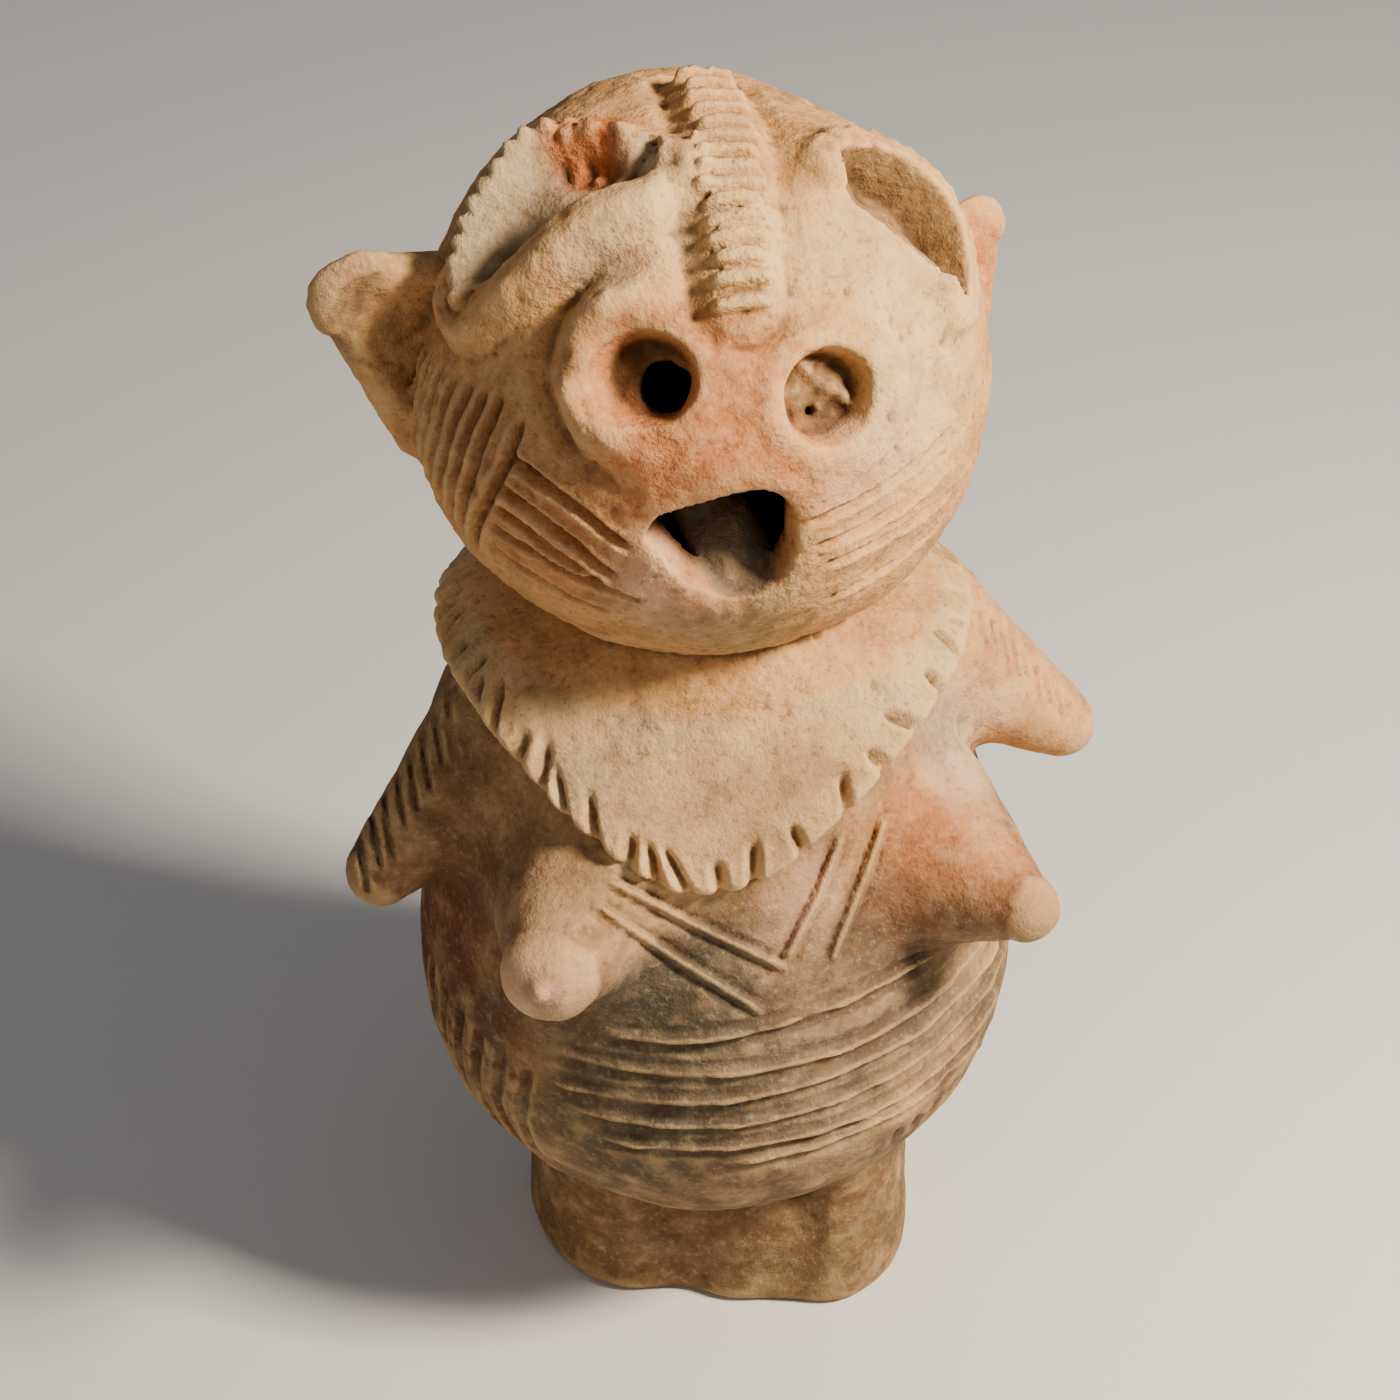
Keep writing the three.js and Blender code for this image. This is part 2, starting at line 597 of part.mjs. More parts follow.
function collarNotches() {
  const cuts = [];
  for (const { first, last, step, length, halfWidth } of COLLAR_NOTCHES) {
    for (let angle = first; angle <= last; angle += step) {
      const turn = THREE.MathUtils.degToRad(angle);
      const path = (share, lift) => collarPoint(
        turn, THREE.MathUtils.lerp(1 - length, COLLAR_NOTCH_END, share), lift / PART);
      cuts.push(groove(path, halfWidth * PART, COLLAR_NOTCH_DEPTH * PART, 1));
    }
  }
  return cuts;
}

// Thin raised lines round the front of the belly, between an angle and another
const BELTS = [
  { height: 39.3, from: -36, to: 34 },
  { height: 36.2, from: -44, to: 58 },
  { height: 33.7, from: -44, to: 60 },
  { height: 31.4, from: -41, to: 60 },
  { height: 29, from: -37, to: 56 },
  { height: 27, from: -14, to: 44 },
];
const BELT = { halfWidth: 0.4, rise: 0.75, steps: 5 };

function belts() {
  return BELTS.map(({ height, from, to }) => ridge(
    torsoPath([from, height], [to, height]), BELT.halfWidth * PART, BELT.rise * PART, BELT.steps));
}

// A double V cut on the chest, as the ends of its strokes, each an angle and a height
const CHEST_STROKES = [
  { from: [-37, 50.5], to: [1, 42.5] },
  { from: [-35, 49], to: [-3, 40.5] },
  { from: [18.5, 52], to: [0, 43] },
  { from: [28, 52], to: [5, 40.6] },
];
const CHEST_STROKE = { halfWidth: 0.36, depth: 0.65 };

// Strokes down the left flank, from the front one back
const FLANK_STROKES = 4;
const FLANK_STROKE = { angle: -52, step: -7, slant: 4, top: 34.5, low: 21, halfWidth: 0.4, depth: 0.5 };

function torsoGrooves() {
  const cuts = CHEST_STROKES.map(({ from, to }) => groove(
    torsoPath(from, to), CHEST_STROKE.halfWidth * PART, CHEST_STROKE.depth * PART));
  const { step, slant, top, low, halfWidth, depth } = FLANK_STROKE;
  for (let i = 0; i < FLANK_STROKES; i += 1) {
    const angle = FLANK_STROKE.angle + step * i;
    cuts.push(groove(torsoPath([angle, top], [angle + slant, low]), halfWidth * PART, depth * PART));
  }
  return cuts;
}

// Short strokes across the outer side of each arm
const ARM_STROKES = 5;
const ARM_STROKE = {
  first: 0.3, last: 0.92, fromTurn: 0.1, toTurn: 1.5, skinShare: 0.98, halfWidth: 0.25, depth: 0.5,
};

function armStrokes(arm) {
  const axis = arm.to.clone().sub(arm.from).normalize();
  const front = new THREE.Vector3(0, -1, 0).addScaledVector(axis, axis.y).normalize();
  const upper = front.clone().cross(axis).normalize();
  if (upper.z < 0) {
    upper.negate();
  }
  const cuts = [];
  for (let i = 0; i < ARM_STROKES; i += 1) {
    const along = THREE.MathUtils.lerp(ARM_STROKE.first, ARM_STROKE.last, i / (ARM_STROKES - 1));
    const radius = THREE.MathUtils.lerp(arm.rootRadius, arm.tipRadius, along) * ARM_STROKE.skinShare;
    const centre = arm.from.clone().lerp(arm.to, along);
    const path = (share, lift) => {
      const turn = THREE.MathUtils.lerp(ARM_STROKE.fromTurn, ARM_STROKE.toTurn, share);
      const out = front.clone().multiplyScalar(Math.cos(turn)).addScaledVector(upper, Math.sin(turn));
      return centre.clone().addScaledVector(out, radius + lift).addScaledVector(axis, share * PART);
    };
    cuts.push(groove(path, ARM_STROKE.halfWidth * PART, ARM_STROKE.depth * PART));
  }
  return cuts;
}

// The hollow inside: head, torso and an open foot, each its outer form moved in by the wall
function cavity() {
  const inner = HEAD_RADIUS * PART - WALL;
  const chamber = solid(new THREE.SphereGeometry(inner, CAVITY_SIDES, CHAMBER_RINGS).rotateX(Math.PI / 2)
    .translate(HEAD_CENTRE.x, HEAD_CENTRE.y, HEAD_CENTRE.z));
  const footTop = FOOT_HEIGHT * PART;
  return joined([
    chamber, torso(WALL, CAVITY_SIDES, CAVITY_RINGS), foot(WALL, -WALL, footTop, CAVITY_SIDES, 1),
  ]);
}

function figure() {
  const body = joined([
    torso(0, TORSO_SIDES, TORSO_RINGS), foot(0, 0, FOOT_HEIGHT * PART, FOOT_SIDES, FOOT_RINGS), head(),
    collar().subtract(joined(collarNotches())),
    ...ARMS.map((arm) => stub(arm)), ...BREASTS.map((breast) => stub(breast)), ...EARS.map(ear),
    ...EYES.map(eyeRim), ...NOSTRILS.map(nostrilRing), ...crest(), ...belts(),
  ]);
  const cuts = joined([
    ...EYES.map(eyeHollow), ...EYES.flatMap(browNotches), ...nostrilBores(), mouthCut(),
    ...faceGrooves(), ...torsoGrooves(), ...ARMS.flatMap(armStrokes), cavity(),
  ]);
  return body.subtract(cuts).add(tongue());
}

// A solid becomes a geometry again, set down with its box centred over the origin
function seated(made) {
  const mesh = made.getMesh();
  const geometry = new THREE.BufferGeometry();
  geometry.setAttribute("position", new THREE.BufferAttribute(mesh.vertProperties, 3));
  geometry.setIndex(new THREE.BufferAttribute(mesh.triVerts, 1));
  geometry.computeBoundingBox();
  const middle = geometry.boundingBox.getCenter(new THREE.Vector3());
  geometry.translate(-middle.x, -middle.y, -geometry.boundingBox.min.z);
  geometry.computeVertexNormals();
  return geometry;
}

const clay = new THREE.MeshStandardMaterial({ color: 0xb48f68, roughness: 0.92, metalness: 0 });
const statue = new THREE.Mesh(seated(figure()), clay);
statue.name = "terracotta_figure";

const part = new THREE.Group();
part.add(statue);

export default part;
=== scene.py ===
# A hollow terracotta figure with an upturned schematic face, a notched collar, stub arms,
# breasts, a banded belly and a two-lobed foot, as one carved and stained skin of clay.
# Forms are written in parts, a hundredth of the figure's height, and become metres at the end.

import math

import bpy
import numpy as np
import openvdb
from mathutils import Matrix, Vector


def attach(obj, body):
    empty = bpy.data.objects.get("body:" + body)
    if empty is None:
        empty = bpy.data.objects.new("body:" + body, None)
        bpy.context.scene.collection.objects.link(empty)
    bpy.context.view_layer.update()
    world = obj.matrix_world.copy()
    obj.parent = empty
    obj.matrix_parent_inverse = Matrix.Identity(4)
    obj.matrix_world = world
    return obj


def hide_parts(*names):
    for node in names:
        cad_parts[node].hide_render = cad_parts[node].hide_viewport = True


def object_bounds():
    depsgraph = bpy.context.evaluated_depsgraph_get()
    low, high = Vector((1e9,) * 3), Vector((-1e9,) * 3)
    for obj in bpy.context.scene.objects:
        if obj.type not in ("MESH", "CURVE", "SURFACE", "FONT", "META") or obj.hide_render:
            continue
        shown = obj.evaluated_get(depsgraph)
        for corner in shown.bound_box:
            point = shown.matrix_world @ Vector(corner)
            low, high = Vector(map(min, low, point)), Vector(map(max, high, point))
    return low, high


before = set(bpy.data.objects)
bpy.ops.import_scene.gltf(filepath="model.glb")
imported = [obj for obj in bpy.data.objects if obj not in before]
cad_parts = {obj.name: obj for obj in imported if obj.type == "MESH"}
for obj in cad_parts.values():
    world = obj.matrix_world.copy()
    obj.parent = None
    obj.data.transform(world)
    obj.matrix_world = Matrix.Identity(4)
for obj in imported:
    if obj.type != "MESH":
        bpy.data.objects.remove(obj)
cad_low, cad_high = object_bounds()

# The frame in parts: the crest stands a little above the crown, which is a hundred parts up
HEIGHT_WITH_CREST = 102.2
PART = (cad_high.z - cad_low.z) / HEIGHT_WITH_CREST
MILLIMETRE = 0.001 / PART

# Pose and proportions
WALL = 11 * MILLIMETRE
HEAD_CENTRE = np.array([-0.7, 0.0, 81.0])
HEAD_RADIUS = 18.9
TORSO_SHIFT = -0.1
TORSO_LEAN = math.radians(4)
LEAN_HEIGHT = 33
TORSO_DEPTH_SHARE = 0.96
FOOT_HEIGHT = 17
FOOT_CENTRE = np.array([0.0, -0.8])

# Fineness of the skin
VOXEL = 0.25
BLOCK = 4
TRIANGLES = 196000
BLOCKS_AT_ONCE = 6000

# Points along each step of a rounded line, on the head and on the torso's profile
CURVE_STEPS = 3
PROFILE_STEPS = 8

# Distances given for places that lie away from a form
FAR = 9.0
ENDLESS = 99.0


def smoothstep(x, low, high):
    """0 below low, 1 above high and a smooth rise between them."""
    share = np.clip((x - low) / (high - low), 0, 1)
    return share * share * (3 - 2 * share)


def smooth_min(a, b, blend):
    """The nearer of two distances, with a fillet as wide as the blend."""
    share = np.clip(0.5 + 0.5 * (b - a) / blend, 0, 1)
    return b * (1 - share) + a * share - blend * share * (1 - share)


def smooth_max(a, b, blend):
    return -smooth_min(-a, -b, blend)


def bump(x, width):
    return np.exp(-((x / width) ** 2))


def lengths(vectors):
    return np.sqrt(np.einsum("...i,...i", vectors, vectors))


def unit(vector):
    return np.asarray(vector, float) / np.linalg.norm(vector)


def direction(longitude, latitude):
    """Direction from a longitude, 0 at the front and positive to +X, and a latitude."""
    lon, lat = math.radians(longitude), math.radians(latitude)
    return np.array([math.sin(lon) * math.cos(lat), -math.cos(lon) * math.cos(lat), math.sin(lat)])


# Random values each way in the clay's noise, after which they repeat
NOISE_CELLS = 32


def clay_noise(points, cell, seed):
    """Smooth random values from -1 to 1 that change over a cell's width."""
    size = (NOISE_CELLS, NOISE_CELLS, NOISE_CELLS)
    lattice = np.random.default_rng(seed).uniform(-1, 1, size).astype(np.float32)
    place = points / cell
    corner = np.floor(place).astype(np.int32)
    share = (place - corner).astype(np.float32)
    share = share * share * (3 - 2 * share)
    total = np.zeros(len(points), np.float32)
    for dx in (0, 1):
        for dy in (0, 1):
            for dz in (0, 1):
                weight = np.abs(1 - dx - share[:, 0]) * np.abs(1 - dy - share[:, 1])
                weight *= np.abs(1 - dz - share[:, 2])
                index = (corner + (dx, dy, dz)) % NOISE_CELLS
                total += weight * lattice[index[:, 0], index[:, 1], index[:, 2]]
    return total


def head_noise(along, cell, seed):
    """The clay's noise on the head's skin, along unit directions."""
    return clay_noise(along * HEAD_RADIUS, cell, seed)


def ridge(away, height, middle, width):
    """A low ridge beside a line: its height, its distance from the line and its width."""
    return height * bump(away - middle, width)


def teeth(place, width):
    """Even marks, one for each whole number that the place passes."""
    return bump(place % 1 - 0.5, width)


# The least cosine at which a patch still lays places out flat
LEAST_AHEAD = 0.05


class Patch:
    """Flat coordinates, in parts, over the head's skin round a longitude and a latitude."""

    def __init__(self, longitude, latitude):
        self.middle = direction(longitude, latitude)
        self.across = direction(longitude + 90, 0)
        self.up = np.cross(self.middle, self.across)
        self.reach = float(head_radius(self.middle[None])[0])

    def flat(self, along):
        ahead = np.maximum(along @ self.middle, LEAST_AHEAD)
        return np.stack([along @ self.across, along @ self.up], 1) * (self.reach / ahead)[:, None]

    def outline(self, places):
        return self.flat(np.array([direction(*place) for place in places]))

    def curve(self, places):
        return rounded_line(self.outline(places), CURVE_STEPS)


def rounded_line(line, steps):
    """A smooth curve through every point of a line."""
    before = np.vstack([2 * line[:1] - line[1:2], line, 2 * line[-1:] - line[-2:-1]])
    curve = []
    for i in range(1, len(before) - 2):
        a, b, c, d = before[i - 1:i + 3]
        for t in np.linspace(0, 1, steps, endpoint=False):
            curve.append(0.5 * (2 * b + (c - a) * t + (2 * a - 5 * b + 4 * c - d) * t**2
                                + (3 * b - a - 3 * c + d) * t**3))
    return np.vstack([curve, line[-1:]])


def stroke_distance(flat, line):
    """Distance from flat points to a line of points, and the share of its length there."""
    best = np.full(len(flat), np.inf)
    share = np.zeros(len(flat))
    steps = lengths(np.diff(line, axis=0))
    total = steps.sum()
    walked = 0.0
    for start, end, step in zip(line[:-1], line[1:], steps):
        run = end - start
        along = np.clip(((flat - start) @ run) / (step * step), 0, 1)
        away = lengths(flat - start - along[:, None] * run)
        nearer = away < best
        best = np.where(nearer, away, best)
        share = np.where(nearer, (walked + along * step) / total, share)
        walked += step
    return best, share


def inside_outline(flat, outline):
    """Whether flat points lie inside a closed outline."""
    inside = np.zeros(len(flat), bool)
    for (x0, y0), (x1, y1) in zip(outline, np.roll(outline, -1, axis=0)):
        crosses = (y0 > flat[:, 1]) != (y1 > flat[:, 1])
        at = x0 + (flat[:, 1] - y0) * (x1 - x0) / (y1 - y0 + 1e-12)
        inside ^= crosses & (flat[:, 0] < at)
    return inside


def signed_outline(flat, outline):
    """Distance to a closed outline, negative inside it."""
    away, _ = stroke_distance(flat, np.vstack([outline, outline[:1]]))
    return np.where(inside_outline(flat, outline), -away, away)


# A cut stroke, in shares of its depth and half width, and the shares of its length where it fades
GROOVE_DEPTH = 1.25
BURR_HEIGHT = 0.35
BURR_MIDDLE = 1.9
BURR_WIDTH = 0.8
STROKE_FADE = (-0.04, 0.12)


def incised(away, share, half_width, depth):
    """A stroke cut in wet clay: a groove with a low burr pushed up along both sides."""
    fade = smoothstep(np.minimum(share, 1 - share), *STROKE_FADE)
    groove = GROOVE_DEPTH * depth * bump(away, half_width)
    burr = ridge(away, BURR_HEIGHT * depth, BURR_MIDDLE * half_width, BURR_WIDTH * half_width)
    return (burr - groove) * fade


# Head

# Swellings of the head: longitude, latitude, height in parts and spread in degrees
SWELLINGS = [
    (-70, -8, 1.2, 34),  # left cheek and temple
    (-80, 56, 2.1, 26),  # left eye
    (64, 50, 1.5, 24),  # right eye
    (-170, 62, 1.0, 26),  # crown
    (120, 52, -0.7, 20),  # dip right of the crest
    (-9, 20, 1.3, 24),  # snout
    (-9, -22, 0.5, 25),  # chin
    (50, -30, 0.5, 28),  # right jaw
]


def turn_from(along, longitude, latitude):
    """Angle, in radians, between unit directions and a place on the head."""
    return np.arccos(np.clip(along @ direction(longitude, latitude), -1, 1))


def head_radius(along):
    """Distance from the head's centre to its plain skin along unit directions."""
    radius = np.full(len(along), HEAD_RADIUS)
    for longitude, latitude, height, spread in SWELLINGS:
        radius += height * bump(turn_from(along, longitude, latitude), math.radians(spread))
    return radius


def head_area(along, longitude, latitude, spread):
    """Indices of the directions within a spread, in degrees, of a place on the head."""
    return np.nonzero(along @ direction(longitude, latitude) > math.cos(math.radians(spread)))[0]


# Left eye: a long dish between a crease against the lower lid and a crisp notched brow
LEFT_EYE = (-66, 56)
LEFT_EYE_SPREAD = 48
LEFT_CREASE = [(-73, 31), (-67, 40), (-62, 48), (-57, 56), (-49, 61.5), (-41, 65), (-37, 68)]
LEFT_BROW = [
    (-38, 71), (-46, 74.5), (-57, 73), (-72, 71), (-86, 67), (-91, 60), (-87, 52), (-83, 44), (-78, 36),
    (-73, 31),
]
LEFT_DISH_DEPTH = 1.6
LEFT_DISH_BY_CREASE = (-0.1, 0.9)
LEFT_DISH_BY_BROW = (0.2, 2.6)
LEFT_BROW_HEIGHT = 1.7
LEFT_BROW_LOW_END = 0.25
LEFT_BROW_RISE = (0.02, 0.3)
LEFT_BROW_INSIDE = 3.2
LEFT_BROW_OUTSIDE = 1.9
LEFT_LID = (1.5, 2.0, 1.9)
LEFT_LID_FURROW = (0.45, 5.4, 1.3)

# Notches of the left brow, from a share of its length on, chipped at the rim and pressed outside it
LEFT_NOTCHES = 17
LEFT_NOTCHED = (0.22, 0.34)
LEFT_CHIP = (0.45, 0, 0.55)
LEFT_CHIP_WIDTH = 0.2
LEFT_NOTCH = (0.8, 0.4, 0.9)
LEFT_NOTCH_WIDTH = 0.24
LEFT_NOTCH_WEAR = (2.6, 13)


def inside_eye(along, middle, crease, brow):
    """Whether directions fall inside the outline of an eye."""
    inside = np.zeros(len(along), bool)
    area = head_area(along, *middle, EYE_OUTLINE_SPREAD)
    patch = Patch(*middle)
    outline = np.vstack([patch.curve(crease), patch.curve(brow)[1:-1]])
    inside[area] = inside_outline(patch.flat(along[area]), outline)
    return inside


def left_eye(along):
    area = head_area(along, *LEFT_EYE, LEFT_EYE_SPREAD)
    patch = Patch(*LEFT_EYE)
    flat = patch.flat(along[area])
    crease, brow = patch.curve(LEFT_CREASE), patch.curve(LEFT_BROW)
    to_crease, _ = stroke_distance(flat, crease)
    to_brow, share = stroke_distance(flat, brow)
    inside = inside_outline(flat, np.vstack([crease, brow[:-1]]))
    uneven = 0.5 + 0.5 * head_noise(along[area], *LEFT_NOTCH_WEAR)
    notched = uneven * smoothstep(share, *LEFT_NOTCHED)
    chips = notched * teeth(share * LEFT_NOTCHES, LEFT_CHIP_WIDTH) * ridge(to_brow, *LEFT_CHIP)
    notches = notched * teeth(share * LEFT_NOTCHES, LEFT_NOTCH_WIDTH) * ridge(to_brow, *LEFT_NOTCH)
    low = LEFT_BROW_LOW_END
    crest = LEFT_BROW_HEIGHT * (low + (1 - low) * smoothstep(share, *LEFT_BROW_RISE)) * (1 - chips)
    dish = crest * (1 - smoothstep(to_brow, 0, LEFT_BROW_INSIDE))
    hollow = smoothstep(to_crease, *LEFT_DISH_BY_CREASE) * smoothstep(to_brow, *LEFT_DISH_BY_BROW)
    dish -= LEFT_DISH_DEPTH * hollow
    lid = ridge(to_crease, *LEFT_LID) - ridge(to_crease, *LEFT_LID_FURROW)
    outer = crest * (1 - smoothstep(to_brow, 0, LEFT_BROW_OUTSIDE)) - notches
    relief = np.zeros(len(along))
    relief[area] = np.where(inside, dish, np.maximum(outer, lid))
    return relief


# Right eye: a dish cut back under a round brow band, shallow against the lower lid
RIGHT_EYE = (54, 47)
EYE_OUTLINE_SPREAD = 40
RIGHT_CREASE = [(53, 28), (51, 35), (47, 42), (43, 48), (40, 55), (43, 60), (49, 63)]
RIGHT_BROW = [(49, 63), (56, 62), (62, 59), (65, 54), (66, 48), (66, 43), (63, 38), (58, 33), (53, 28)]
RIGHT_DISH_DEPTH = 2.4
RIGHT_DISH_BY_BROW = (-0.1, 0.7)
RIGHT_DISH_BY_CREASE = (-0.2, 3.4)
RIGHT_BROW_HEIGHT = 1.1
RIGHT_BROW_LIP = 0.5
RIGHT_BROW_OUTSIDE = (1.6, 3.3)
RIGHT_LID = (0.35, 1.2, 1.6)
RIGHT_NOTCHES = 14
RIGHT_NOTCH = (0.3, 2.3, 0.8)
RIGHT_NOTCH_WIDTH = 0.22


def right_eye(along):
    area = head_area(along, *RIGHT_EYE, EYE_OUTLINE_SPREAD)
    patch = Patch(*RIGHT_EYE)
    flat = patch.flat(along[area])
    crease, brow = patch.curve(RIGHT_CREASE), patch.curve(RIGHT_BROW)
    to_crease, _ = stroke_distance(flat, crease)
    to_brow, share = stroke_distance(flat, brow)
    inside = inside_outline(flat, np.vstack([crease, brow[1:-1]]))
    hollow = smoothstep(to_brow, *RIGHT_DISH_BY_BROW) * smoothstep(to_crease, *RIGHT_DISH_BY_CREASE)
    lip = (1 - smoothstep(to_brow, 0, RIGHT_BROW_LIP)) * smoothstep(to_crease, 0, 1)
    dish = RIGHT_BROW_HEIGHT * lip - RIGHT_DISH_DEPTH * hollow
    band = RIGHT_BROW_HEIGHT * (1 - smoothstep(to_brow, *RIGHT_BROW_OUTSIDE))
    notches = teeth(share * RIGHT_NOTCHES, RIGHT_NOTCH_WIDTH) * ridge(to_brow, *RIGHT_NOTCH)
    relief = np.zeros(len(along))
    relief[area] = np.where(inside, dish, np.maximum(band - notches, ridge(to_crease, *RIGHT_LID)))
    return relief


# Nostrils, each placed by its middle: the left one opens inside, the right one is blind
LEFT_NOSTRIL = (-25.5, 30.5)
LEFT_NOSTRIL_SPREAD = 30
RIGHT_NOSTRIL = (12, 24.5)
RIGHT_NOSTRIL_SPREAD = 26

# The left nostril's wing, higher on the cheek's side, with a trough outside it
WING_SIDE = (-0.97, -0.1)
WING_GROWTH = (-0.45, 0.6)
WING_LEAST = 0.1
WING_MORE = 1.2
WING_RADIUS = 4.7
WING_SHIFT = 0.3
WING_WIDTH = 1.9
WING_UNEVENNESS = 0.3
WING_WEAR = (1.6, 8)
TROUGH = (1.0, 7.3, 1.0)
TROUGH_GROWTH = (-0.1, 0.75)

# Its funnel and the ragged hole through the wall
FUNNEL_MIDDLE = (-0.25, -0.2)
FUNNEL_STRETCH = 1.15
FUNNEL_DEPTH = 2.5
FUNNEL_EDGE = (2.3, 3.1)
BORE_MIDDLE = (0.8, -0.8)
BORE_DEPTH = 5.0
BORE_EDGE = (1.45, 1.85)
BORE_RAGGEDNESS = 0.35
BORE_WEAR = (1.2, 14)

# The right nostril: rings of clay round a pocket with a fold, crumbs and a pinhole on its floor
RIGHT_STRETCH = 1.06
OUTER_RING = (0.45, 5.4, 0.8)
OUTER_RING_SIDE = (-1, 3)
INNER_RING = (0.4, 3.9, 0.9)
POCKET_DEPTH = 2.2
POCKET_EDGE = (2.6, 3.15)
POCKET_FOLD = (0.5, 0.9, 0.5)
POCKET_FOLD_TILT = 0.7
POCKET_CRUMBS = 0.3
POCKET_CRUMB_WIDTH = 0.7
POCKET_CRUMB_RADIUS = 19
POCKET_CRUMB_SEED = 5
PINHOLE = (10, 21)
PINHOLE_DEPTH = 1.2
PINHOLE_RADIUS = 0.3


def left_nostril(along):
    area = head_area(along, *LEFT_NOSTRIL, LEFT_NOSTRIL_SPREAD)
    flat = Patch(*LEFT_NOSTRIL).flat(along[area])
    reach = lengths(flat)
    side = (flat @ WING_SIDE) / np.maximum(reach, 0.01)
    uneven = 1 + WING_UNEVENNESS * head_noise(along[area], *WING_WEAR)
    height = uneven * (WING_LEAST + WING_MORE * smoothstep(side, *WING_GROWTH))
    wing = ridge(reach, height, WING_RADIUS + WING_SHIFT * side, WING_WIDTH)
    trough = smoothstep(side, *TROUGH_GROWTH) * ridge(reach, *TROUGH)
    to_funnel = lengths((flat - FUNNEL_MIDDLE) / (FUNNEL_STRETCH, 1))
    funnel = FUNNEL_DEPTH * (1 - smoothstep(to_funnel, *FUNNEL_EDGE))
    to_bore = lengths(flat - BORE_MIDDLE) + BORE_RAGGEDNESS * head_noise(along[area], *BORE_WEAR)
    bore = BORE_DEPTH * (1 - smoothstep(to_bore, *BORE_EDGE))
    relief = np.zeros(len(along))
    relief[area] = wing - trough - funnel - bore
    return relief


def right_nostril(along):
    area = head_area(along, *RIGHT_NOSTRIL, RIGHT_NOSTRIL_SPREAD)
    patch = Patch(*RIGHT_NOSTRIL)
    flat = patch.flat(along[area])
    x, y = flat.T
    reach = np.hypot(x / RIGHT_STRETCH, y)
    ring = ridge(reach, *OUTER_RING) * smoothstep(x, *OUTER_RING_SIDE) + ridge(reach, *INNER_RING)
    crumbs = clay_noise(along[area] * POCKET_CRUMB_RADIUS, POCKET_CRUMB_WIDTH, POCKET_CRUMB_SEED)
    floor = POCKET_DEPTH - ridge(POCKET_FOLD_TILT * (x + y), *POCKET_FOLD) + POCKET_CRUMBS * crumbs
    pocket = floor * (1 - smoothstep(reach, *POCKET_EDGE))
    hole = PINHOLE_DEPTH * bump(lengths(flat - patch.outline([PINHOLE])), PINHOLE_RADIUS)
    relief = np.zeros(len(along))
    relief[area] = ring - pocket - hole
    return relief


# The open mouth
MOUTH_MIDDLE = (-11, -4)
MOUTH_SPREAD = 28
MOUTH = [
    (-25, -1), (-22, 4), (-15, 7), (-9, 9), (-4, 9.5), (0, 7.5), (3, 3.5), (3.5, -2), (3, -8), (0.5, -14),
    (-7, -17), (-16, -13), (-20, -8),
]
MOUTH_DEPTH = 6.0
MOUTH_SIDE = (-0.35, 0.12)
MOUTH_WORN_EDGE = (0.3, 0.1, 0.7)


def mouth(along):
    area = head_area(along, *MOUTH_MIDDLE, MOUTH_SPREAD)
    patch = Patch(*MOUTH_MIDDLE)
    outline = patch.curve([*MOUTH, MOUTH[0]])[:-1]
    edge = signed_outline(patch.flat(along[area]), outline)
    relief = np.zeros(len(along))
    relief[area] = -MOUTH_DEPTH * (1 - smoothstep(edge, *MOUTH_SIDE)) - ridge(edge, *MOUTH_WORN_EDGE)
    return relief


# The crest: flattened pellets of clay in a row from above the snout over the top of the head
CREST_MIDDLE = (-2, 68)
CREST_SPREAD = 36
CREST_ROW = [
    (-5, 43.5), (-4.5, 48), (-4, 52), (-3.5, 55.7), (-3, 59.3), (-3, 62.8), (-2, 66.2), (-1, 69.7),
    (1, 73.3), (4, 77), (9, 80.8), (18, 84.6), (60, 88), (150, 86.5), (166, 82.5),
]
CREST_BED_HEIGHT = 0.35
CREST_BED_EDGE = (1.6, 2.9)
CREST_FURROW = (0.45, 3.4, 0.7)
PELLET_HEIGHT = 0.85
PELLET_HALF_WIDTH = 2.15
PELLET_WIDTH_CHANGE = 0.12
PELLET_WIDTH_TURN = 2.3
PELLET_HALF_LENGTH = 0.56
PELLET_SAG = 0.3
PELLET_EDGE = (0.2, 1.2)
LONG_PELLETS = 4
LONG_PELLET_SHARE = 1.2


def crest(along):
    area = head_area(along, *CREST_MIDDLE, CREST_SPREAD)
    patch = Patch(*CREST_MIDDLE)
    flat = patch.flat(along[area])
    row = patch.outline(CREST_ROW)
    away, _ = stroke_distance(flat, row)
    bed = CREST_BED_HEIGHT * (1 - smoothstep(away, *CREST_BED_EDGE)) - ridge(away, *CREST_FURROW)
    pellets = np.zeros(len(area))
    for place, (x, y) in enumerate(row):
        wide = PELLET_HALF_WIDTH * (1 + PELLET_WIDTH_CHANGE * math.sin(PELLET_WIDTH_TURN * place))
        tall = PELLET_HALF_LENGTH * (LONG_PELLET_SHARE if place < LONG_PELLETS else 1)
        dx = (flat[:, 0] - x) / wide
        dy = (flat[:, 1] - y + PELLET_SAG * dx * dx) / tall
        pellet = 1 - smoothstep(dx**4 + np.abs(dy) ** 2.6, *PELLET_EDGE)
        pellets = np.maximum(pellets, PELLET_HEIGHT * pellet)
    relief = np.zeros(len(along))
    relief[area] = bed + pellets
    return relief


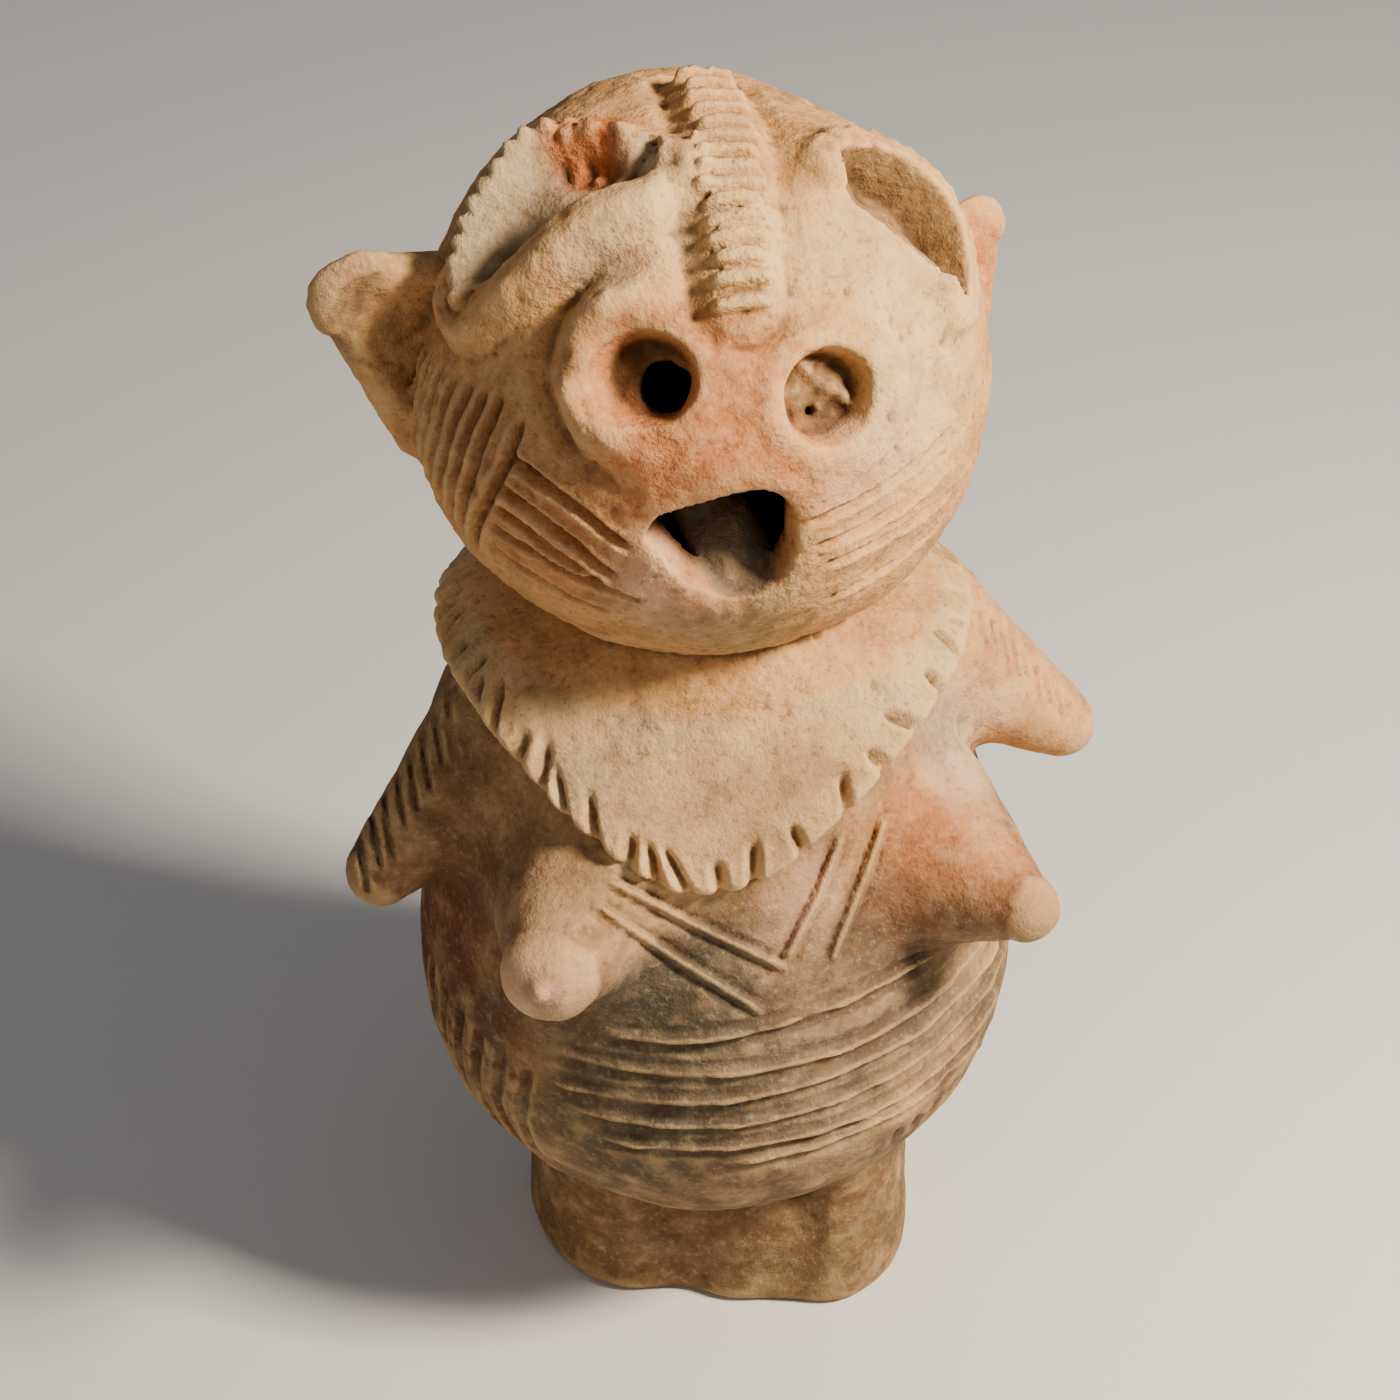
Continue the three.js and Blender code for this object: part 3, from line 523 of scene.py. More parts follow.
# Incised strokes of the face, each a line of places with its half width and depth
LEFT_CHEEK = [
    ([(-53, 9.5), (-43, 6), (-36, 2.5), (-28, -4)], 0.36, 0.85),
    ([(-55, 3), (-45, -1), (-38, -5), (-31, -12)], 0.36, 0.85),
    ([(-56, -2), (-47, -5.5), (-40, -9.5), (-34, -14)], 0.3, 0.6),
    ([(-59, -7), (-47, -10), (-36, -14.5), (-26, -17.5)], 0.3, 0.6),
    ([(-61, -14), (-50, -16.5), (-40, -21), (-33, -24)], 0.26, 0.35),
]
RIGHT_CHEEK = [
    ([(41, 6), (30, 4.5), (18, 2.5), (5, 1)], 0.28, 0.6),
    ([(42, 0), (30, -2.5), (18, -4.5), (7, -5.5)], 0.32, 0.7),
    ([(43, -8), (32, -9), (20, -10), (9, -11)], 0.28, 0.6),
    ([(45, -16), (36, -18), (26, -20), (13, -23)], 0.28, 0.5),
]
SLANT = ([(-51, 17), (-53, 8), (-57, -1), (-61, -8), (-66, -18)], 0.36, 0.75)
LEFT_CHEEK_MIDDLE = (-58, 2)
RIGHT_CHEEK_MIDDLE = (26, -8)
CHEEK_SPREAD = 48

# Temple strokes: the first one's top and foot, and the steps to those of the next
TEMPLE_STROKES = 9
TEMPLE_TOP = np.array([-56.5, 20.0])
TEMPLE_TOP_STEP = np.array([-3.9, -0.6])
TEMPLE_TOP_SPREAD = np.array([-0.2, 0.0])
TEMPLE_FOOT = np.array([-68.0, -15.0])
TEMPLE_FOOT_STEP = np.array([-3.6, 1.2])
TEMPLE_BOW = (1, 0)
TEMPLE_HALF_WIDTH = 0.3
TEMPLE_DEPTH = 0.6


def temple_stroke(place):
    top = TEMPLE_TOP + place * TEMPLE_TOP_STEP + place * place * TEMPLE_TOP_SPREAD
    foot = TEMPLE_FOOT + place * TEMPLE_FOOT_STEP
    return [top, (top + foot) / 2 + TEMPLE_BOW, foot], TEMPLE_HALF_WIDTH, TEMPLE_DEPTH


def face_strokes(along):
    relief = np.zeros(len(along))
    left = [*LEFT_CHEEK, SLANT, *[temple_stroke(place) for place in range(TEMPLE_STROKES)]]
    for strokes, middle in ((left, LEFT_CHEEK_MIDDLE), (RIGHT_CHEEK, RIGHT_CHEEK_MIDDLE)):
        area = head_area(along, *middle, CHEEK_SPREAD)
        patch = Patch(*middle)
        flat = patch.flat(along[area])
        for line, half_width, depth in strokes:
            away, share = stroke_distance(flat, patch.outline(line))
            relief[area] += incised(away, share, half_width, depth)
    return relief


# Breaks, where the clay has crumbled away: place, reach and depth
BREAKS = [((-76, 66), 3.3, 0.65), ((-47, 74), 1.5, 0.4), ((60, 60), 1.1, 0.35)]
BREAK_SPREAD = 20
BREAK_FLOOR = 0.55
CRUMBLING = 0.6
FINE_CRUMBS = (0.55, 11)
COARSE_CRUMBS = (1.2, 12)


def breaks(along):
    relief = np.zeros(len(along))
    for place, reach, depth in BREAKS:
        area = head_area(along, *place, BREAK_SPREAD)
        flat = Patch(*place).flat(along[area])
        crumbs = head_noise(along[area], *FINE_CRUMBS) + head_noise(along[area], *COARSE_CRUMBS)
        fall = 1 - smoothstep(lengths(flat) + CRUMBLING * crumbs, BREAK_FLOOR * reach, reach)
        relief[area] -= depth * fall * (1 + CRUMBLING * crumbs)
    return relief


def head_relief(along):
    forms = (left_eye, right_eye, left_nostril, right_nostril, crest, face_strokes, breaks, mouth)
    return sum(form(along) for form in forms)


# How far from the plain ball the head's skin is worked out
HEAD_BAND = 7


def head(points, carved):
    away = points - HEAD_CENTRE
    reach = lengths(away)
    distance = reach - HEAD_RADIUS
    near = np.nonzero(np.abs(distance) < HEAD_BAND)[0]
    along = away[near] / reach[near, None]
    distance[near] = reach[near] - head_radius(along)
    if carved:
        distance[near] -= head_relief(along)
    return distance


# Ears: flattened stubs with a scoop in front
EARS = [
    ((-15.9, 0.5, 84.5), (-23.4, -1, 90.4), 8.9, 3.5),
    ((14.5, 1.5, 83), (18.6, 2.2, 88), 6.4, 2.2),
]
EAR_FLATNESS = 0.36
EAR_REACH = 13
EAR_THIN = (0.0, 1.0, 0.0)
SCOOP_ROOT_SHIFT = (0, -2.9, 0)
SCOOP_TIP_SHIFT = (0, -1.6, 0)
SCOOP_LENGTH = 0.9
SCOOP_ROOT_WIDTH = 0.76
SCOOP_TIP_WIDTH = 0.7
SCOOP_FLATNESS = 0.42
SCOOP_ROUNDING = 0.7


def near_stub(points, start, end, reach):
    """Indices of the points within reach of a stub's middle."""
    return np.nonzero(lengths(points - np.add(start, end) / 2) < reach)[0]


def tapered(points, start, end, start_radius, end_radius):
    """Distance to a round-ended tapering stub."""
    start, axis = np.array(start, float), np.subtract(end, start)
    share = np.clip(((points - start) @ axis) / (axis @ axis), 0, 1)
    radius = start_radius + (end_radius - start_radius) * share
    return lengths(points - start - share[:, None] * axis) - radius


def flattened(points, start, end, start_radius, end_radius, flatness, thin):
    """Distance to a tapering stub that is flattened along a thin direction."""
    start, axis = np.array(start, float), np.subtract(end, start)
    thin = np.asarray(thin, float)
    thin = unit(thin - axis * (thin @ axis) / (axis @ axis))
    away = points - start
    depth = away @ thin
    share = np.clip((away @ axis) / (axis @ axis), 0, 1)
    wide = lengths(away - share[:, None] * axis - depth[:, None] * thin)
    stretched = depth / flatness
    reach = np.hypot(wide, stretched)
    slope = np.sqrt(wide**2 + (stretched / flatness) ** 2) / np.maximum(reach, 1e-6)
    radius = start_radius + (end_radius - start_radius) * share
    return (reach - radius) / np.maximum(slope, 1)


def ear_scoop(points, start, end, start_radius, end_radius):
    root = np.add(start, SCOOP_ROOT_SHIFT)
    tip = np.subtract(end, start) * SCOOP_LENGTH + start + SCOOP_TIP_SHIFT
    radii = (start_radius * SCOOP_ROOT_WIDTH, end_radius * SCOOP_TIP_WIDTH)
    return flattened(points, root, tip, *radii, SCOOP_FLATNESS, EAR_THIN)


def ears(points):
    distance = np.full(len(points), FAR)
    for ear in EARS:
        near = near_stub(points, *ear[:2], EAR_REACH)
        flap = flattened(points[near], *ear, EAR_FLATNESS, EAR_THIN)
        scoop = ear_scoop(points[near], *ear)
        distance[near] = np.minimum(distance[near], smooth_max(flap, -scoop, SCOOP_ROUNDING))
    return distance


# Torso: a turned form that leans to one side

# Half width of the torso and height, both in parts
TORSO_PROFILE = np.array([
    (9, 9), (12.5, 12), (16, 15), (20, 20), (22.3, 26), (22.5, 33), (21.2, 41),
    (19.7, 48), (18.6, 53), (17.4, 57), (15.4, 60), (12.6, 63), (12, 66),
])
PROFILE_CURVE = rounded_line(TORSO_PROFILE, PROFILE_STEPS)
PROFILE_SLOPE = np.gradient(PROFILE_CURVE[:, 0], PROFILE_CURVE[:, 1])


def upright(points):
    """Turns places of the leaning torso to the upright one."""
    x, z = points[:, 0] - TORSO_SHIFT, points[:, 2] - LEAN_HEIGHT
    cos, sin = math.cos(TORSO_LEAN), math.sin(TORSO_LEAN)
    return np.stack([cos * x + sin * z, points[:, 1], -sin * x + cos * z + LEAN_HEIGHT], 1)


def torso(points):
    """Distance to the torso's plain skin, and the angle and height of each place on it."""
    place = upright(points)
    rho = np.hypot(place[:, 0], place[:, 1] / TORSO_DEPTH_SHARE)
    height = place[:, 2]
    radius = np.interp(height, PROFILE_CURVE[:, 1], PROFILE_CURVE[:, 0])
    slope = np.interp(height, PROFILE_CURVE[:, 1], PROFILE_SLOPE)
    side = (rho - radius) / np.sqrt(1 + slope * slope)
    distance = np.maximum(side, np.maximum(TORSO_PROFILE[0, 1] - height, height - TORSO_PROFILE[-1, 1]))
    angle = np.degrees(np.arctan2(place[:, 0], -place[:, 1]))
    return distance, angle, height


# How far a degree round the torso goes, in parts
DEGREE_AT_CHEST = 0.36

# Thin raised lines round the front of the belly: height, and the angles between which each runs
BELTS = [(39.3, -34, 36), (36.2, -46, 60), (33.7, -46, 62), (31.4, -42, 62), (29.0, -38, 58), (27.0, -12, 48)]
BELT_HALF_WIDTH = 0.27
BELT_HEIGHT = 0.56
BELT_GROOVES = [(0.28, -0.75, 0.4), (0.168, 0.7, 0.35)]
BELT_FADE_BEYOND = 3
BELT_FADE_WITHIN = 6
BELT_SAG = 0.35
BELT_WAVES = 2.4
BELT_WAVE_START = 40
BELT_KEPT = 0.75
BELT_WEAR_SHARE = 0.6
BELT_LEAST = 0.15
BELT_MOST = 1.2


def belts(angle, height, wear):
    relief = np.zeros(len(angle))
    sag = BELT_SAG * np.sin(np.radians(angle * BELT_WAVES + BELT_WAVE_START))
    strength = np.clip(BELT_KEPT + BELT_WEAR_SHARE * wear, BELT_LEAST, BELT_MOST)
    for belt, start, end in BELTS:
        inside = smoothstep(angle, start - BELT_FADE_BEYOND, start + BELT_FADE_WITHIN)
        inside *= 1 - smoothstep(angle, end - BELT_FADE_WITHIN, end + BELT_FADE_BEYOND)
        away = height - belt - sag * math.sin(belt)
        relief += inside * strength * BELT_HEIGHT * bump(away, BELT_HALF_WIDTH)
        for groove in BELT_GROOVES:
            relief -= inside * ridge(away, *groove)
    return relief


# Strokes seen in the photograph's view, as places to the right and up from the figure's middle
VIEW_ACROSS = np.array([0.970, -0.242, 0.0])
VIEW_UP = np.array([0.152, 0.611, 0.777])
VIEW_BACK = np.array([-0.188, -0.754, 0.629])
VIEW_MIDDLE = (0, 0, 50)
VIEW_DISTANCE = 222
V_STROKES = [
    [(-7.8, -11.2), (-1.5, -14.5), (5.4, -17.8)],
    [(-8.6, -13.0), (-3.0, -16.9), (3.4, -20.8)],
    [(9.4, -8.0), (7.6, -12.4), (5.2, -17.2)],
    [(12.5, -6.9), (10.8, -11.6), (8.6, -17.2)],
]
V_RIDGE = (0.45, 0, 0.28)
V_GROOVE = (0.26, 0.58, 0.2)
V_FADE = (-0.03, 0.06)
CHEST_FRONT = (8, 12)

# Flank strokes, as angle and height: the first one's top and foot, and the steps to the next
FLANK_STROKES = 6
FLANK_TOP = np.array([-51.0, 34.0])
FLANK_TOP_STEP = np.array([-6.5, 0.3])
FLANK_BEND_TURN = -4
FLANK_BEND_HEIGHT = 28
FLANK_FOOT = np.array([-55.0, 21.5])
FLANK_FOOT_STEP = np.array([-5.5, 0.0])
FLANK_HALF_WIDTH = 0.42
FLANK_DEPTH = 0.3


def in_view(points):
    away = points - VIEW_MIDDLE
    nearness = VIEW_DISTANCE / (VIEW_DISTANCE - away @ VIEW_BACK)
    return np.stack([away @ VIEW_ACROSS * nearness, away @ VIEW_UP * nearness], 1)


def v_strokes(points):
    """The double V on the chest."""
    relief = np.zeros(len(points))
    flat = in_view(points)
    front = smoothstep(-points[:, 1], *CHEST_FRONT)
    for line in V_STROKES:
        away, share = stroke_distance(flat, np.array(line))
        fade = smoothstep(np.minimum(share, 1 - share), *V_FADE) * front
        relief += fade * (ridge(away, *V_RIDGE) - ridge(away, *V_GROOVE))
    return relief


def flank_strokes(angle, height):
    """Strokes down the left flank."""
    relief = np.zeros(len(angle))
    flat = np.stack([angle * DEGREE_AT_CHEST, height], 1)
    for place in range(FLANK_STROKES):
        top = FLANK_TOP + place * FLANK_TOP_STEP
        bend = (top[0] + FLANK_BEND_TURN, FLANK_BEND_HEIGHT)
        foot_end = FLANK_FOOT + place * FLANK_FOOT_STEP
        away, share = stroke_distance(flat, np.array([top, bend, foot_end]) * (DEGREE_AT_CHEST, 1))
        relief += incised(away, share, FLANK_HALF_WIDTH, FLANK_DEPTH)
    return relief


# Nicks along the belly's lower edge: depth, height and spread, and the angles where they run
NICK = (0.55, 23.2, 1.0)
NICK_STEP = 5.5
NICK_WIDTH = 0.22
NICKS_START = (18, 26)
NICKS_END = (78, 90)


def belly_edge(angle, height):
    """Short nicks along the lower edge of the belly at the right."""
    nicks = teeth(angle / NICK_STEP, NICK_WIDTH) * ridge(height, *NICK)
    return -nicks * smoothstep(angle, *NICKS_START) * (1 - smoothstep(angle, *NICKS_END))


# Foot: three overlapping ellipses, centre and half sizes in parts
LOBES = [(-7, 1.6, 8.2, 10.2), (0.6, -0.4, 8, 11.2), (6.8, -1.4, 8.4, 12)]
LOBE_FILLET = 2.6
FOOT_TAPER = 0.6
FOOT_TOP_OVERLAP = 1
FOOT_TOP_ROUNDING = 1.0
FOOT_RIM_ROUNDING = 1.3
CLEFT = ((2.4, -13.6, 17.5), (4.4, -15.2, 4), 2.9, 0.6)
CLEFT_ROUNDING = 1.6


def foot_outline(points):
    """Distance to the foot's upright side."""
    distance = np.full(len(points), ENDLESS)
    for x, y, half_width, half_length in LOBES:
        away = (points[:, :2] - FOOT_CENTRE - (x, y)) / (half_width, half_length)
        reach = lengths(away)
        slope = lengths(away / (half_width, half_length))
        lobe = reach * (reach - 1) / np.maximum(slope, 1e-6)
        distance = smooth_min(distance, lobe, LOBE_FILLET)
    return distance


def foot(points):
    z = points[:, 2]
    side = foot_outline(points) + FOOT_TAPER * z / FOOT_HEIGHT
    side = smooth_max(side, -tapered(points, *CLEFT), CLEFT_ROUNDING)
    topped = smooth_max(side, z - FOOT_HEIGHT - FOOT_TOP_OVERLAP, FOOT_TOP_ROUNDING)
    return smooth_max(topped, -z, FOOT_RIM_ROUNDING)


# Arms and breasts: start, end and the radii there
ARMS = [
    ((-14.5, -1.5, 54.4), (-25.6, -3.4, 44.4), 6.6, 2.6),
    ((14, -1, 56.6), (25.7, -3.2, 48), 6.8, 2.6),
]
ARM_REACH = 16
ARM_FRONT = (-1, 1)
BREASTS = [
    ((-11.8, -12, 46.8), (-16.2, -19.4, 47.3), 8, 3.6),
    ((12.2, -12.5, 46), (17, -21, 47), 7.6, 2.5),
]
NIPPLE = (-17.6, -22.4, 48.2)
NIPPLE_RADIUS = 0.75
NIPPLE_FILLET = 0.5

# Steep strokes over the front of each arm, in the same view: the first one's top, the steps to the
# next tops, the length, the depth and the count
ARM_STROKES = [((-19.6, 2.6), (-0.92, -1.5), 5.2, 0.27, 8), ((19.4, 8.9), (0.8, -0.85), 3.4, 0.18, 9)]
ARM_STROKE_HALF_WIDTH = 0.18
ARM_STROKE_BEND = 0.15
ARM_STROKE_SLANT = 0.6
ARM_STROKE_CHANGE = 0.25
ARM_STROKE_TURN = 1.9


def arm_strokes(points, first, step, length, depth, count):
    flat = in_view(points)
    relief = np.zeros(len(points))
    for place in range(count):
        x, y = np.add(first, np.multiply(step, place))
        long = length * (1 - ARM_STROKE_CHANGE * abs(math.sin(place * ARM_STROKE_TURN)))
        line = np.array([(x, y), (x + ARM_STROKE_BEND, y - long / 2), (x + ARM_STROKE_SLANT, y - long)])
        away, share = stroke_distance(flat, line)
        relief += incised(away, share, ARM_STROKE_HALF_WIDTH, depth)
    return relief


def limbs(points, carved):
    """Distances to the arms and to the breasts."""
    arms = np.full(len(points), FAR)
    breasts = np.full(len(points), FAR)
    for arm, strokes in zip(ARMS, ARM_STROKES):
        near = near_stub(points, *arm[:2], ARM_REACH)
        distance = tapered(points[near], *arm)
        if carved:
            ahead = (points[near] - np.add(*arm[:2]) / 2) @ VIEW_BACK
            distance -= smoothstep(ahead, *ARM_FRONT) * arm_strokes(points[near], *strokes)
        arms[near] = np.minimum(arms[near], distance)
    for breast in BREASTS:
        breasts = np.minimum(breasts, tapered(points, *breast))
    if carved:
        breasts = smooth_min(breasts, lengths(points - NIPPLE) - NIPPLE_RADIUS, NIPPLE_FILLET)
    return arms, breasts


# The collar slopes from the neck out to a free edge, lowest in front
COLLAR_SHIFT = -0.9
COLLAR_NECK_RADIUS = 12
COLLAR_NECK_HEIGHT = 66
COLLAR_SIDE_HEIGHT = 62.6
COLLAR_SIDE_RADIUS = 18.4
COLLAR_FRONT = math.radians(-13)
COLLAR_FRONT_REACH = 1.4
COLLAR_DROP = 11.2
COLLAR_DROP_SHARPNESS = 9
COLLAR_BACK_DROP = 3
COLLAR_EDGE_THICKNESS = 2.4
COLLAR_ROOT_THICKNESS = 6.5
COLLAR_LEAST_THICKNESS = 1.1
COLLAR_THIN_FROM = (0.7, 1)
COLLAR_SWELL = 0.45
COLLAR_ROOT = 3
COLLAR_SPAN = (44, 69)
COLLAR_FACE_ROUNDING = 0.5
COLLAR_EDGE_ROUNDING = 0.7


def collar_place(points):
    """Turn round the neck, way down the slope, height above it and the slope's length and steepness."""
    x, y = points[:, 0] - COLLAR_SHIFT, points[:, 1]
    turn = np.arctan2(x, -y)
    front = 0.5 + 0.5 * np.cos(turn - COLLAR_FRONT)
    back = np.maximum(-np.cos(turn - COLLAR_FRONT), 0)
    drop = COLLAR_DROP * front**COLLAR_DROP_SHARPNESS + COLLAR_BACK_DROP * back
    fall = COLLAR_NECK_HEIGHT - COLLAR_SIDE_HEIGHT + drop
    out = COLLAR_SIDE_RADIUS + COLLAR_FRONT_REACH * front - COLLAR_NECK_RADIUS
    slope_length = np.hypot(out, fall)
    away_out = np.hypot(x, y) - COLLAR_NECK_RADIUS
    away_up = points[:, 2] - COLLAR_NECK_HEIGHT
    down = (away_out * out - away_up * fall) / slope_length
    above = (away_out * fall + away_up * out) / slope_length
    return turn, down, above, slope_length, out / slope_length


# Notches pressed in the collar's edge: first and last angle, step, length and half width
COLLAR_NOTCHES = [(-106, 0, 6.4, 3.1, 0.42), (7, 98, 9.5, 2.8, 0.32)]
NOTCH_RADIUS = 18
NOTCH_SLANT = 0.35
NOTCH_SLANT_TURN = 1.7
NOTCH_LEAN = 0.25
NOTCH_LENGTH_CHANGE = 0.2
NOTCH_LENGTH_TURN = 2.9
NOTCH_DEPTH = 0.85
NOTCH_FLOOR = 0.55
NOTCH_OPENING = (-1.5, -0.2)
NOTCH_WIDTH_AT_EDGE = 1.15
NOTCH_TAPER = 0.3
NOTCH_BURR = (0.2, 1.7, 0.6)


def collar_notch(around, from_edge, place, length, half_width):
    """A wedge pressed into the edge with a stick, a little slanted."""
    slant = NOTCH_SLANT * math.sin(place * NOTCH_SLANT_TURN) - NOTCH_LEAN
    reach = length * (1 + NOTCH_LENGTH_CHANGE * math.sin(place * NOTCH_LENGTH_TURN))
    off = around - slant * from_edge
    depth = NOTCH_DEPTH * (1 - smoothstep(from_edge, NOTCH_FLOOR * reach, reach))
    depth *= smoothstep(from_edge, *NOTCH_OPENING)
    wedge = bump(off, half_width * (NOTCH_WIDTH_AT_EDGE - NOTCH_TAPER * from_edge / reach))
    height, middle, width = NOTCH_BURR
    return depth * (ridge(np.abs(off), height, middle * half_width, width * half_width) - wedge)


def collar_notches(turn, down, slope_length):
    relief = np.zeros(len(turn))
    for first, last, step, length, half_width in COLLAR_NOTCHES:
        for place, angle in enumerate(np.arange(first, last, step)):
            around = (turn - math.radians(angle)) * NOTCH_RADIUS
            relief += collar_notch(around, slope_length - down, place, length, half_width)
    return relief


def collar(points, carved):
    distance = np.full(len(points), FAR)
    low, high = COLLAR_SPAN
    near = np.nonzero((points[:, 2] > low) & (points[:, 2] < high))[0]
    turn, down, above, slope_length, steepness = collar_place(points[near])
    share = np.clip(down / slope_length, 0, 1)
    relief = collar_notches(turn, down, slope_length) if carved else 0
    thickness = (COLLAR_ROOT_THICKNESS * (1 - share) + COLLAR_EDGE_THICKNESS * share) * steepness
    thickness = np.maximum(thickness, COLLAR_LEAST_THICKNESS * smoothstep(share, *COLLAR_THIN_FROM))
    face = above - COLLAR_SWELL * np.sin(np.pi * share) - relief
    slab = smooth_max(face, -above - thickness, COLLAR_FACE_ROUNDING)
    distance[near] = smooth_max(slab, down - slope_length, COLLAR_EDGE_ROUNDING)
    distance[near] = np.maximum(distance[near], -down - COLLAR_ROOT)
    return distance


# The tongue rises from the lower lip into the mouth
TONGUE = ((-1.8, -17.0, 74.8), (-4.3, -10.4, 80.4), 2.7, 2.4)
TONGUE_FLATNESS = 0.5
TONGUE_FRONT = 18.5
TONGUE_FRONT_ROUNDING = 0.8
TONGUE_REACH = 11
TONGUE_ACROSS = (1.0, 0.0, 0.0)
TONGUE_ROUGHNESS = 0.09
TONGUE_GRAIN = (1.1, 21)


def tongue(points):
    distance = np.full(len(points), FAR)
    near = near_stub(points, *TONGUE[:2], TONGUE_REACH)
    inner = points[near]
    thin = np.cross(TONGUE_ACROSS, np.subtract(TONGUE[1], TONGUE[0]))
    slab = flattened(inner, *TONGUE, TONGUE_FLATNESS, thin)
    slab -= TONGUE_ROUGHNESS * clay_noise(inner, *TONGUE_GRAIN)
    front = lengths(inner - HEAD_CENTRE) - TONGUE_FRONT
    distance[near] = smooth_max(slab, front, TONGUE_FRONT_ROUNDING)
    return distance


CAVITY_FILLET = 1.0


def cavity(points, torso_distance):
    """Distance to the empty inside: head, torso and an open foot, each moved in by the wall."""
    chamber = lengths(points - HEAD_CENTRE) - (HEAD_RADIUS - WALL)
    belly = torso_distance + WALL
    shaft = np.maximum(foot_outline(points) + WALL, points[:, 2] - FOOT_HEIGHT)
    return smooth_min(smooth_min(chamber, belly, CAVITY_FILLET), shaft, CAVITY_FILLET)


# Marks of a surface shaped by hand: the height of each, and its noise as a width and a seed
HAND_MARKS = [(0.15, (3.4, 1)), (0.07, (1.3, 2))]
GRIT_HEIGHT = 0.1
GRIT = (0.62, 3)
PIT_DEPTH = 0.2
PITS = (0.7, 4)
PIT_EDGE = (0.5, 0.9)

# The body has a share of the head's grit, and the skin and the colour change at these heights
BODY_GRIT = 0.35
GRIT_RISE = (56, 64)
GRIT_LOOK_RISE = (58, 66)


def gritty(heights, rise):
    return BODY_GRIT + (1 - BODY_GRIT) * smoothstep(heights, *rise)


def hand_marks(points):
    """Low unevenness of a surface shaped by hand, with grit and pits on the head."""
    low = sum(height * clay_noise(points, *noise) for height, noise in HAND_MARKS)
    pits = smoothstep(clay_noise(points, *PITS), *PIT_EDGE)
    grit = GRIT_HEIGHT * clay_noise(points, *GRIT) - PIT_DEPTH * pits
    return low + grit * gritty(points[:, 2], GRIT_RISE)


# Fillets where forms were joined, and the edge where the empty inside opens
BREAST_FILLET = 2.6
ARM_FILLET = 2.2
FOOT_FILLET = 0.9
EAR_FILLET = 0.8
COLLAR_FILLET = 0.25
TONGUE_FILLET = 0.5
OPENING_EDGE = 0.3

# Where the body is carved: within this of its skin, and between these heights
CARVED_WITHIN = 3
CARVED_FROM = 18
CARVED_TO = 56
BELT_WEAR = (2.2, 7)
MARKS_START = (0, 1.5)


def body_relief(points, angle, height):
    wear = clay_noise(points, *BELT_WEAR)
    relief = belts(angle, height, wear) + v_strokes(points) + flank_strokes(angle, height)
    return relief + belly_edge(angle, height)


def figure(points, carved=True):
    """Distance from points to the clay, negative inside it."""
    trunk, angle, height = torso(points)
    arms, breasts = limbs(points, carved)
    body = smooth_min(trunk, breasts, BREAST_FILLET)
    if carved:
        tall = (height > CARVED_FROM) & (height < CARVED_TO)
        skin = np.nonzero((np.abs(body) < CARVED_WITHIN) & tall)[0]
        body[skin] -= body_relief(points[skin], angle[skin], height[skin])
    body = smooth_min(body, arms, ARM_FILLET)
    body = smooth_min(body, foot(points), FOOT_FILLET)
    whole = smooth_min(head(points, carved), ears(points), EAR_FILLET)
    whole = np.minimum(whole, smooth_min(body, collar(points, carved), COLLAR_FILLET))
    if carved:
        whole -= hand_marks(points) * smoothstep(points[:, 2], *MARKS_START)
    shell = smooth_max(whole, -cavity(points, trunk), OPENING_EDGE)
    return smooth_min(shell, tongue(points), TONGUE_FILLET)


# The skin of clay: the grid that it is drawn on, and how near the plain form it is worked out
GRID_LOW = np.array([-30.0, -26.0, -1.5])
GRID_HIGH = np.array([31.0, 24.0, 104.5])
BAND = 2.6


def block_grid():
    """Middles of the blocks that the grid is split into, and their count each way."""
    size = VOXEL * BLOCK
    count = np.ceil((GRID_HIGH - GRID_LOW) / size).astype(int)
    places = np.stack(np.meshgrid(*[np.arange(n) for n in count], indexing="ij"), -1).reshape(-1, 3)
    return places, count, GRID_LOW + (places + 0.5) * size


def clay_grid():
    """Distances to the clay on a fine grid, worked out only near its skin."""
    places, count, middles = block_grid()
    rough = figure(middles, carved=False)
    grid = np.empty((count[0], BLOCK, count[1], BLOCK, count[2], BLOCK), np.float32)
    grid[:] = np.sign(rough).reshape(count)[:, None, :, None, :, None]
    near = places[np.abs(rough) < BAND]
    steps = np.stack(np.meshgrid(*[np.arange(BLOCK)] * 3, indexing="ij"), -1).reshape(1, -1, 3)
    for chunk in np.array_split(near, max(1, len(near) // BLOCKS_AT_ONCE)):
        cells = chunk[:, None] * BLOCK + steps
        points = GRID_LOW + (cells.reshape(-1, 3) + 0.5) * VOXEL
        values = figure(points).reshape(-1, BLOCK, BLOCK, BLOCK)
        grid[chunk[:, 0], :, chunk[:, 1], :, chunk[:, 2], :] = values
    return np.clip(grid.reshape(count * BLOCK), -1, 1)


def skin_mesh():
    """The skin of the clay as points in parts and four-sided faces."""
    volume = openvdb.FloatGrid(1.0)
    volume.copyFromArray(clay_grid(), ijk=(0, 0, 0), tolerance=0.0)
    points, quads = volume.convertToQuads(isovalue=0.0)
    return GRID_LOW + (points + 0.5) * VOXEL, quads


